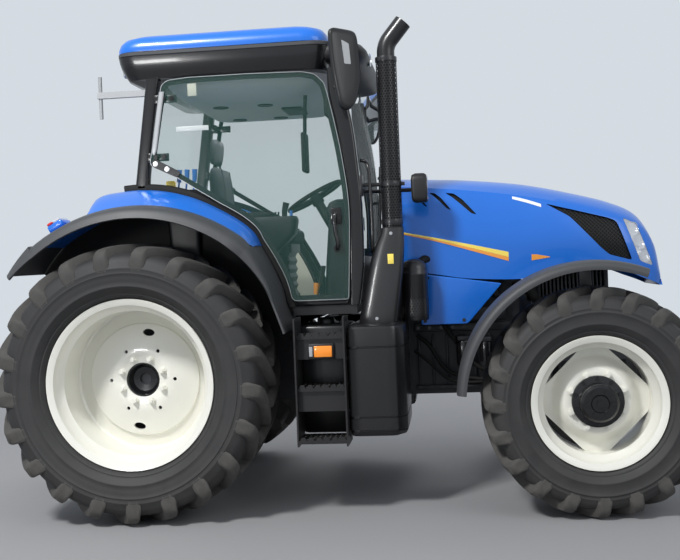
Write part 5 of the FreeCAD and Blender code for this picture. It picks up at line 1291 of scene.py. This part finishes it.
def seat():
    """Cushion with side bolsters, tall backrest and headrest, swollen by simulation, with piped seams."""
    pads = (
        ("seat_cushion", [(1.648, 0.430, 0.872, 0.236), (1.668, 0.420, 0.880, 0.242),
                          (1.712, 0.420, 0.880, 0.242), (1.730, 0.432, 0.870, 0.232),
                          (1.736, 0.470, 0.830, 0.200)], 0.06),
        ("seat_back", [(1.662, 0.312, 0.398, 0.214), (1.700, 0.308, 0.402, 0.222),
                       (1.880, 0.300, 0.386, 0.222), (2.050, 0.296, 0.370, 0.216),
                       (2.150, 0.292, 0.358, 0.200), (2.188, 0.296, 0.350, 0.170)], 0.05),
        ("seat_headrest", [(2.206, 0.284, 0.318, 0.104), (2.240, 0.280, 0.326, 0.118),
                           (2.330, 0.284, 0.338, 0.118),
                           (2.380, 0.290, 0.336, 0.100)], 0.035))
    for index, (name, levels, corner) in enumerate(pads):
        pad = swollen(Form().centred(between(levels, 14), corner, 5).thing(name), 0.010)
        dressed(pad, "cloth", "tractor", ("seat",) if index == 0 else (), smooth=70)
    piping = Form()
    for y in (-0.120, 0.120):
        for line in (((0.448, 1.744), (0.560, 1.7475), (0.700, 1.7475), (0.850, 1.744)),
                     ((0.4070, 1.760), (0.3960, 1.880), (0.3800, 2.050), (0.3640, 2.170))):
            piping.tube([at(x, y, z) for x, z in line], 0.0035, 8)
    for y in (-0.055, 0.055):
        piping.rod((0.318, y, 2.150), (0.312, y, 2.230), 0.007, 10)
    piping.piece("seat_piping", "seal")


# Exhaust, covers, mirrors and lamps

def exhaust():
    """Stack with its slant outlet, perforated shield with clamps, and the shaped cover at its foot."""
    stack_x, stack_y, bend_z, bend = 1.553, -0.700, 2.768, 0.130
    points = [at(stack_x, stack_y, z) for z in (1.7003, 2.0, 2.4, 2.700)]
    slant, steps = 40, 12
    for step in range(steps + 1):
        angle = math.radians(slant * step / steps)
        points.append(at(stack_x + bend * (1 - math.cos(angle)), stack_y, bend_z + bend * math.sin(angle)))
    out = Vector((math.sin(math.radians(slant)), 0, math.cos(math.radians(slant))))
    points += [points[-1] + out * reach for reach in (0.06, 0.1285)]
    dressed(Form().pipe(points[:4], 0.0535, 0.003, 36).thing("stack_pipe"), "seal", "tractor", smooth=60)
    dressed(Form().pipe(points[3:], 0.054, 0.003, 36).thing("stack_outlet"), "satin", "tractor",
            ("exhaust_stack",), smooth=60)
    shield = Form().wrapped(at(stack_x, stack_y, 1.7003), 0.0635, 1.026, 22, 0.74).thing("stack_guard")
    dressed(thickened(shield, 0.002), "metal", "tractor", ("stack_shield",), smooth=60)
    clamps = Form()
    for z, tall in ((1.722, 0.030), (1.955, 0.026), (2.712, 0.028)):
        clamps.turned_up([(0.0618, z), (0.0662, z), (0.0668, z + 0.003), (0.0668, z + tall - 0.003),
                          (0.0662, z + tall), (0.0618, z + tall)], at(stack_x, stack_y, 0), ring=True)
    clamps.rod((stack_x - 0.060, stack_y, 1.968), (1.380, -0.715, 1.968), 0.012, 10)
    clamps.block((1.360, -0.752, 1.900), (1.384, -0.690, 2.030), 0.005)
    clamps.block((stack_x + 0.050, stack_y - 0.012, 1.957), (stack_x + 0.085, stack_y + 0.012, 1.979), 0.003)
    clamps.piece("stack_clamps", "metal", smooth=50)
    rows = between([(1.1214, 1.324, 1.563, -0.764, -0.636), (1.180, 1.336, 1.572, -0.765, -0.635),
                    (1.300, 1.362, 1.590, -0.765, -0.635), (1.420, 1.390, 1.606, -0.764, -0.636),
                    (1.520, 1.416, 1.616, -0.763, -0.637), (1.600, 1.444, 1.621, -0.762, -0.638),
                    (1.660, 1.472, 1.621, -0.761, -0.639), (1.6997, 1.482, 1.622, -0.760, -0.640)], 40)
    rings = []
    for z, rear, front, near, far in rows:
        ring = []
        for step in range(48):
            turn = 2 * math.pi * step / 48
            share, lean = (math.copysign(abs(part) ** 0.7, part) for part in (math.cos(turn), math.sin(turn)))
            ring.append(at((rear + front) / 2 + (front - rear) / 2 * share,
                           (near + far) / 2 + (far - near) / 2 * lean, z))
        rings.append(ring)
    cover = Form().loft(rings).thing("exhaust_shroud")
    dressed(cover, "gloss", "tractor", ("exhaust_cover",), smooth=60)
    trim = Form()
    for x, z in ((1.440, 1.150), (1.545, 1.665)):
        trim.bolt(at(x, -0.7635, z), (0, -1, 0), 0.014, 0.006)
    trim.piece("shroud_bolts", "steel")
    tag = Form().block((1.520, -0.7668, 1.480), (1.556, -0.7645, 1.540), 0.0008)
    tag.piece("bare_tag", "stripe")


def canister():
    """Upright filter housing with a domed lid, a clamp ring and its perforated skirt."""
    foot = at(1.668, -0.549, 0)
    profile = [(0.010, 1.1214), (0.080, 1.1214), (0.084, 1.130), (0.084, 1.400), (0.0848, 1.402),
               (0.0848, 1.418), (0.083, 1.420), (0.083, 1.440), (0.077, 1.466), (0.060, 1.488),
               (0.034, 1.500), (0.010, 1.5036)]
    form = Form().turned_up(profile, foot)
    form.block((1.610, -0.545, 1.212), (1.688, -0.2155, 1.310), 0.008)
    form.piece("filter_housing", "metal", ("canister",), smooth=45)
    skirt = Form().wrapped(at(1.668, -0.549, 1.150), 0.0846, 0.110, 28).thing("filter_skirt")
    dressed(thickened(skirt, 0.0012), "metal", "tractor", smooth=60)
    hose = Form().tube(between([at(1.700, -0.480, 1.470), at(1.740, -0.440, 1.500), at(1.800, -0.380, 1.470),
                                at(1.830, -0.300, 1.400), at(1.800, -0.2155, 1.360)], 20), 0.026, 16)
    hose.piece("air_hose", "seal", smooth=60)


def tank_covers():
    """Smooth side covers with grooves, latches and a creased corner, and the tank behind the steps."""
    levels = []
    for z, inset in ((0.460, 0.030), (0.466, 0.012), (0.482, 0.003), (0.489, 0.0), (0.4915, 0.006),
                     (0.4975, 0.006), (0.500, 0), (0.570, 0), (0.5725, 0.006), (0.5785, 0.006), (0.581, 0),
                     (0.986, 0), (0.9885, 0.006), (0.9945, 0.006), (0.997, 0), (1.098, 0.0), (1.112, 0.005),
                     (1.1207, 0.018)):
        outline = [(1.2705 + inset, -0.340), (1.2705 + inset, -0.950 + inset), (1.520, -0.950 + inset),
                   (1.558 - inset * 0.4, -0.938 + inset), (1.6105 - inset, -0.862 + inset * 0.6),
                   (1.6105 - inset, -0.340)]
        levels.append([at(x, y, z) for x, y in rounded(outline, 0.016, 4)])
    form = Form().loft(levels)
    form.block((0.962, -0.788, 0.462), (1.2700, -0.335, 1.119), 0.020)
    form.block((1.020, -0.345, 1.031), (1.120, -0.1905, 1.119), 0.004)
    form.block((1.440, -0.345, 1.031), (1.540, -0.2155, 1.119), 0.004)
    form.mirrored().piece("tank_shell", "satin", ("side_tanks",), smooth=35)
    latches = Form()
    for z in (0.494, 0.575, 0.991):
        latches.block((1.290, -0.9530, z - 0.010), (1.330, -0.9445, z + 0.010), 0.003)
    latches.turned_up([(0.006, 1.1207), (0.055, 1.1207), (0.055, 1.150), (0.050, 1.158), (0.006, 1.160)],
                      at(1.10, -0.560, 0))
    latches.mirrored().piece("tank_latches", "metal", smooth=45)


def step_trim():
    """Treads' punched tops, bolts and grab rails round the steps."""
    form, middle = Form(), 1.115
    for level in range(3):
        z, far = 0.460 + level * 0.306, -1.0403 + 0.030 * level
        for column in range(9):
            for row in range(4):
                x, y = 0.992 + column * 0.031, far + 0.035 + row * 0.052
                form.tube([at(x, y, z), at(x, y, z + 0.006)], 0.009, 8, 0.006)
    for x in (0.9685, 1.2615):
        for z in (0.470, 0.620, 0.780, 0.930, 1.090, 1.160):
            outward = math.copysign(1, x - middle)
            form.bolt(at(x + outward * 0.0045, -0.930, z), (outward, 0, 0), 0.016, 0.007)
    form.mirrored().piece("tread_studs", "black", smooth=40)
    rail = Form()
    rail.tube(between([at(1.420, -0.700, 1.560), at(1.430, -0.745, 1.600), at(1.432, -0.752, 1.800),
                       at(1.424, -0.745, 2.050), at(1.404, -0.715, 2.110), at(1.372, -0.700, 2.120)], 26),
              0.011, 10)
    rail.mirrored().piece("grab_rail", "enamel", smooth=60)


def mirrors():
    """Tall housings with a rounded lower tip and a ridge, glass towards the driver, on folding arms."""
    turn, middle = math.radians(-52), at(1.325, -0.930, 2.640)
    across, out = Vector((-math.sin(turn), math.cos(turn), 0)), Vector((math.cos(turn), math.sin(turn), 0))
    shape = [(-0.104, 0.243), (0.070, 0.232), (0.088, 0.200), (0.103, 0.040), (0.103, -0.060),
             (0.072, -0.180), (0.030, -0.236), (-0.020, -0.240), (-0.050, -0.205), (-0.086, -0.020),
             (-0.100, 0.120)]
    outline = rounded(shape, 0.045, 5)

    def place(u, z, depth):
        return middle + across * u + Vector((0, 0, z)) + out * depth

    housing = Form().loft([[place(u * share, z * share, depth) for u, z in outline] for depth, share in (
        (-0.0155, 0.965), (-0.0150, 1.0), (0.002, 1.0), (0.009, 0.97), (0.0135, 0.86), (0.0158, 0.55))])
    housing.tube([place(-0.020, 0.15, -0.004), at(1.300, -0.900, 2.700), at(1.268, -0.790, 2.640)], 0.014)
    housing.tube([place(-0.030, -0.06, -0.004), at(1.290, -0.870, 2.600), at(1.268, -0.785, 2.605)], 0.014)
    housing.block((1.230, -0.7690, 2.560), (1.300, -0.7575, 2.670), 0.004)
    housing.rod((1.268, -0.785, 2.590), (1.268, -0.785, 2.655), 0.018, 14)
    housing.mirrored().piece("mirror_housings", "satin", ("mirrors",), smooth=50)
    glass = Form().loft([[place(u * 0.92, z * 0.94, depth) for u, z in outline]
                         for depth in (-0.0175, -0.0152)])
    glass.mirrored().piece("mirror_glass", "mirror")
    ridge = rounded([(-0.015, 0.030), (0.030, 0.030), (0.020, 0.150), (-0.030, 0.170)], 0.006, 2)
    plate = Form().loft([[place(u, z, depth) for u, z in ridge] for depth in (0.013, 0.0175)])
    plate.mirrored().piece("mirror_plate", "silver")


def lamps():
    """Amber markers in dark frames, side lamps on arms, and rear clusters on the fenders."""
    dark, blue, amber = Form(), Form(), Form()
    red, clear, bowls = Form(), Form(), Form()
    face = -0.9606
    dark.block((1.040, face - 0.018, 0.932), (1.196, face, 1.026), 0.005)
    amber.block((1.076, face - 0.0295, 0.946), (1.184, face - 0.0183, 1.012), 0.004)
    clear.block((1.046, face - 0.0205, 0.950), (1.066, face - 0.0183, 1.008), 0.001)
    dark.column([(z, rear, front, near, far) for z, rear, front, near, far in (
        (1.850, 1.700, 1.766, -0.672, -0.588), (1.858, 1.682, 1.772, -0.690, -0.572),
        (1.880, 1.676, 1.774, -0.698, -0.562), (1.990, 1.674, 1.774, -0.698, -0.562),
        (2.018, 1.680, 1.770, -0.690, -0.572), (2.0285, 1.698, 1.756, -0.670, -0.590))], 0.020, 5)
    post = 1.3707
    dark.tube(between([at(post + 0.010, -0.700, 1.933), at(1.420, -0.655, 1.933), at(1.470, -0.606, 1.933),
                       at(1.560, -0.600, 1.933), at(1.680, -0.600, 1.933)], 16), 0.012, 12)
    dark.block((post, -0.716, 1.916), (post + 0.022, -0.684, 1.950), 0.004)
    bowls.bowl(at(1.7745, -0.630, 1.960), (1, 0, 0), 0.052, 0.030)
    clear.rod((1.7700, -0.630, 1.960), (1.7752, -0.630, 1.960), 0.052, 28)
    bowls.bowl(at(1.7745, -0.630, 1.886), (1, 0, 0), 0.020, 0.016)
    turn = math.radians(119)
    outward = Vector((math.cos(turn), 0, math.sin(turn)))
    along = Vector((-math.sin(turn), 0, math.cos(turn)))
    base = at(FENDER_CENTRE[0], 0, FENDER_CENTRE[1]) + outward * (FENDER_SEAM + 0.0135)

    def slab(form, low, high, bevel):
        """Rounded block in the lamp's own place: along the fender, across, and out from it."""
        levels = []
        for out, inset in ((low[2], bevel), (low[2] + bevel, 0), (high[2] - bevel, 0), (high[2], bevel)):
            corners = rounded([(low[0] + inset, low[1] + inset), (high[0] - inset, low[1] + inset),
                               (high[0] - inset, high[1] - inset), (low[0] + inset, high[1] - inset)],
                              bevel * 1.5, 3)
            levels.append([base + along * u + Vector((0, y, 0)) + outward * out for u, y in corners])
        form.loft(levels)

    slab(blue, (-0.050, -1.008, 0.0003), (0.050, -0.852, 0.044), 0.006)
    slab(red, (0.006, -1.004, 0.0443), (0.044, -0.930, 0.060), 0.004)
    slab(amber, (0.006, -0.926, 0.0443), (0.044, -0.858, 0.060), 0.004)
    slab(clear, (-0.044, -1.004, 0.0443), (0.002, -0.858, 0.060), 0.004)
    for form, name, look, node in ((dark, "lamp_housings", "black", ("lamps",)),
                                   (blue, "rear_lamp_housings", "paint", ()),
                                   (amber, "amber_lenses", "amber", ()),
                                   (red, "red_lenses", "red", ()), (clear, "clear_lenses", "lens", ()),
                                   (bowls, "side_lamp_bowls", "chrome", ())):
        dressed(form.mirrored().thing(name), look, "tractor", node, smooth=50)


def side_panels():
    """Lower painted panels ahead of the tank covers, with their dark gap and fasteners."""
    near, far = 0.431, 0.445
    outline = rounded([(1.696, 1.080), (1.992, 1.080), (2.215, 1.328), (1.726, 1.404)], 0.018, 5)
    form = Form()
    form.loft([[at(x, y, z) for x, z in drawn_in(outline, inset)] for y, inset in (
        (-near, 0.004), (-near - 0.003, 0), (-far + 0.005, 0), (-far + 0.0015, 0.0015), (-far, 0.006))])
    form.block((1.762, -0.438, 1.182), (1.858, -0.2155, 1.228), 0.004)
    form.mirrored().piece("lower_panels", "paint", ("side_panels",), smooth=40)
    studs = Form()
    for x, z in ((1.722, 1.104), (1.968, 1.104), (1.748, 1.378)):
        studs.rod((x, -far, z), (x, -far - 0.004, z), 0.011, 20)
    studs.mirrored().piece("panel_studs", "black")


def engine_dressing():
    """What shows round the plain engine: ribs, filter, pump, pipes, hoses, belt and wheel-side clutter."""
    cast, dark, bright, rubber = Form(), Form(), Form(), Form()
    side = -ENGINE_SIDE
    for step in range(7):
        x = 1.660 + step * 0.092
        cast.block((x, side - 0.024, 0.680), (x + 0.016, side, 1.000), 0.004)
    cast.block((1.640, side - 0.018, 0.640), (2.300, side, 0.668), 0.005)
    cast.block((1.640, side - 0.030, 1.020), (2.310, side, 1.075), 0.006)
    cast.block((1.900, side - 0.085, 1.090), (2.240, side, 1.180), 0.012)
    for x in (1.700, 1.860, 2.020, 2.180):
        cast.tube([at(x, side, 1.250), at(x, side - 0.055, 1.262), at(x - 0.020, side - 0.070, 1.320)],
                  0.026, 14)
    cast.rod((1.680, side - 0.075, 1.330), (2.200, side - 0.075, 1.330), 0.036, 16)
    for x, radius, low, high in ((1.960, 0.048, 0.800, 0.960), (2.100, 0.040, 0.820, 0.950)):
        dark.turned_up([(0.006, low), (radius * 0.86, low), (radius, low + 0.012), (radius, high - 0.01),
                        (radius * 0.9, high), (0.006, high)], at(x, side - 0.070, 0))
        cast.block((x - 0.040, side - 0.110, high + 0.0003), (x + 0.040, side, high + 0.034), 0.006)
    dark.rod((2.290, side - 0.040, 0.900), (2.290, side - 0.105, 0.900), 0.062, 28)
    dark.rod((2.290, side, 0.900), (2.290, side - 0.042, 0.900), 0.030, 16)
    for step in range(9):
        bright.bolt(at(1.668 + step * 0.075, side - 0.030, 1.047), (0, -1, 0), 0.016, 0.009)
        bright.bolt(at(1.668 + step * 0.075, side - 0.018, 0.654), (0, -1, 0), 0.013, 0.007)
    for route, radius in (
            (((1.660, -0.260, 1.000), (1.740, -0.275, 0.930), (1.860, -0.270, 0.760), (2.100, -0.262, 0.700),
              (2.300, -0.250, 0.720), (2.360, -0.215, 0.840)), 0.013),
            (((1.640, -0.255, 0.900), (1.740, -0.290, 0.820), (1.880, -0.285, 0.700), (2.120, -0.260, 0.690),
              (2.330, -0.220, 0.730)), 0.010),
            (((1.700, -0.260, 1.120), (1.800, -0.290, 1.110), (1.880, -0.285, 1.000), (2.060, -0.262, 0.780),
              (2.260, -0.240, 0.780)), 0.015),
            (((2.300, -0.250, 1.300), (2.380, -0.300, 1.300), (2.420, -0.300, 1.240),
              (2.440, -0.2505, 1.200)), 0.030)):
        rubber.tube(between([at(*point) for point in route], 28), radius, 12)
    for form, name, look in ((cast, "engine_ribs", "cast"), (dark, "engine_filters", "enamel"),
                             (bright, "engine_bolts", "metal"), (rubber, "engine_hoses", "seal")):
        dressed(form.mirrored().thing(name), look, "tractor", smooth=45)
    cooler = Form()
    cooler.block((2.4405, -0.2495, 1.0608), (2.470, 0.2495, 1.5595), 0.006)
    cooler.block((2.870, -0.2495, 1.0608), (2.8995, 0.2495, 1.5595), 0.006)
    for step in range(16):
        x = 2.478 + step * 0.0245
        cooler.block((x, -0.249, 1.062), (x + 0.012, 0.249, 1.5585), 0.002)
    cooler.piece("cooler_frames", "cast", ("cooler_pack",), smooth=40)


def linkage_trim():
    """Rubber caps, pins, bolts and hoses round the hitch, axles and housing."""
    bright, dark = Form(), Form()
    for y, z in ((0.060, 0.620), (0.060, 0.980), (0.130, 0.700), (0.130, 0.900)):
        for end in (1, -1):
            bright.bolt(at(-0.2603, end * y, z), (-1, 0, 0), 0.024, 0.014)
    for y in (-0.100, -0.050, 0.050, 0.100):
        dark.rod((-0.2605, y, 1.120), (-0.300, y, 1.122), 0.020, 16)
        dark.rod((-0.298, y, 1.122), (-0.318, y, 1.123), 0.014, 12)
    dark.block((-0.262, -0.150, 1.075), (-0.2605 + 0.080, 0.150, 1.165), 0.008)
    for end in (RIGHT, LEFT):
        dark.tube(between([at(-0.200, end * 0.190, 1.050), at(-0.260, end * 0.260, 1.120),
                           at(-0.180, end * 0.330, 1.200), at(-0.060, end * 0.340, 1.195)], 18), 0.012, 10)
    bright.piece("hitch_bolts", "steel")
    dark.piece("hydraulic_ports", "seal", smooth=45)


def rear_wall():
    """Ribs, covers, sockets and a bare plate on the wall under the rear window."""
    back = -0.0403
    form = Form()
    form.block((back - 0.012, -0.560, 1.210), (back, 0.560, 1.290), 0.005)
    form.block((back - 0.016, -0.300, 1.330), (back, 0.300, 1.700), 0.010)
    for y in (-0.500, -0.420, -0.340, 0.340, 0.420, 0.500):
        form.block((back - 0.010, y - 0.012, 1.320), (back, y + 0.012, 1.900), 0.004)
    form.block((back - 0.020, -0.560, 1.925), (back, 0.560, 1.985), 0.008)
    form.tube([at(back - 0.030, -0.24, 1.755), at(back - 0.050, -0.22, 1.760), at(back - 0.050, 0.22, 1.760),
               at(back - 0.030, 0.24, 1.755)], 0.012, 12)
    for y in (-0.240, 0.240):
        form.rod((back, y, 1.755), (back - 0.034, y, 1.755), 0.015, 12)
    for y, z in ((-0.220, 1.380), (-0.110, 1.380), (0.220, 1.380)):
        form.rod((back - 0.0155, y, z), (back - 0.042, y, z), 0.034, 24)
        form.tube([at(back - 0.042, y, z), at(back - 0.050, y, z)], 0.030, 24, 0.024)
    form.piece("rear_wall_panels", "black", smooth=45)
    sign = Form().block((back - 0.0200, 0.040, 1.470), (back - 0.0163, 0.280, 1.580), 0.0015)
    sign.piece("bare_plate", "white")
    studs = Form()
    for y in (-0.280, 0.280):
        for z in (1.350, 1.515, 1.680):
            studs.bolt(at(back - 0.0163, y, z), (-1, 0, 0), 0.018, 0.008)
    for y in (-0.520, -0.260, 0, 0.260, 0.520):
        studs.bolt(at(back - 0.0123, y, 1.250), (-1, 0, 0), 0.018, 0.008)
        studs.bolt(at(back - 0.0203, y, 1.955), (-1, 0, 0), 0.014, 0.006)
    studs.piece("rear_wall_studs", "steel")


def front_carrier():
    """Ribbed front plate with its tow fork and pin, and bolt rows along the front support."""
    form, bright = Form(), Form()
    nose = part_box("front_support")[1].x - AXLE_X
    form.block((nose + 0.0003, -0.166, 0.660), (nose + 0.016, 0.166, 1.045), 0.006)
    for y in (-0.130, 0.130):
        form.block((nose + 0.0155, y - 0.014, 0.720), (nose + 0.034, y + 0.014, 1.010), 0.004)
    for z in (0.800, 0.900):
        form.block((nose + 0.0155, -0.060, z), (nose + 0.095, 0.060, z + 0.022), 0.006)
    form.block((nose + 0.0155, -0.060, 0.780), (nose + 0.030, 0.060, 0.940), 0.004)
    bright.rod((nose + 0.065, 0, 0.780), (nose + 0.065, 0, 0.950), 0.014, 16)
    bright.rod((nose + 0.065, 0, 0.950), (nose + 0.065, 0, 0.962), 0.022, 16)
    for y in (-0.148, 0.148):
        for z in (0.735, 0.860, 0.990):
            bright.bolt(at(nose + 0.0163, y, z), (1, 0, 0), 0.020, 0.010)
    for side in (RIGHT, LEFT):
        for x in (2.400, 2.480, 2.900, 2.980, 3.060):
            for z in (0.860, 1.000):
                form.bolt(at(x, side * 0.1903, z), (0, side, 0), 0.026, 0.012)
        form.block((2.360, side * 0.195 - 0.0045, 0.915), (3.080, side * 0.195 + 0.0045, 0.945), 0.002)
    form.piece("front_carrier", "cast", smooth=40)
    bright.piece("tow_pin", "steel", smooth=40)


# Finishes of the solids that stay in view

NODE_LOOKS = {
    "black": "cab_floor dash exhaust_cover front_pillars grille_panels lamps mirrors operator_console "
             "rear_pillars roof_liner side_tanks steps",
    "cast": "cooler_pack engine_block front_axle front_support hitch_frame lift_arms rear_axle "
            "transmission_housing",
    "metal": "bonnet_hinge canister drawbar exhaust_stack lift_rods lower_links stack_shield",
    "paint": "bonnet_shell rear_fenders roof_cap side_panels",
    "cloth": "seat", "glass": "cab_glass", "grey": "fender_flares", "lens": "headlamps",
    "seal": "steering_wheel", "silver": "beacon_bracket",
}
PAIR_LOOKS = {"door_glass": "glass", "door_fittings": "metal", "front_fender": "grey", "knuckle": "cast",
              "front_rim": "rim", "front_tyre": "rubber", "rear_rim": "rim", "rear_tyre": "rubber"}


def finish_nodes():
    """Give every solid its look, those in pairs by their name without the side."""
    looks = {name: look for look, names in NODE_LOOKS.items() for name in names.split()}
    for name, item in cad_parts.items():
        look = looks[name] if name in looks else PAIR_LOOKS[name.rsplit("_", 1)[0]]
        item.data.materials.clear()
        item.data.materials.append(LOOKS[look][0])


bpy.context.scene.view_settings.view_transform = "Standard"
for build in (camera, studio, finish_nodes, wheels, bonnet, roof, rear_fenders, front_fenders, pillars,
              doors, screens, headliner, dashboard, steering, consoles, seat, exhaust, canister,
              tank_covers, step_trim, mirrors, lamps, side_panels, engine_dressing, linkage_trim,
              rear_wall, front_carrier):
    build()
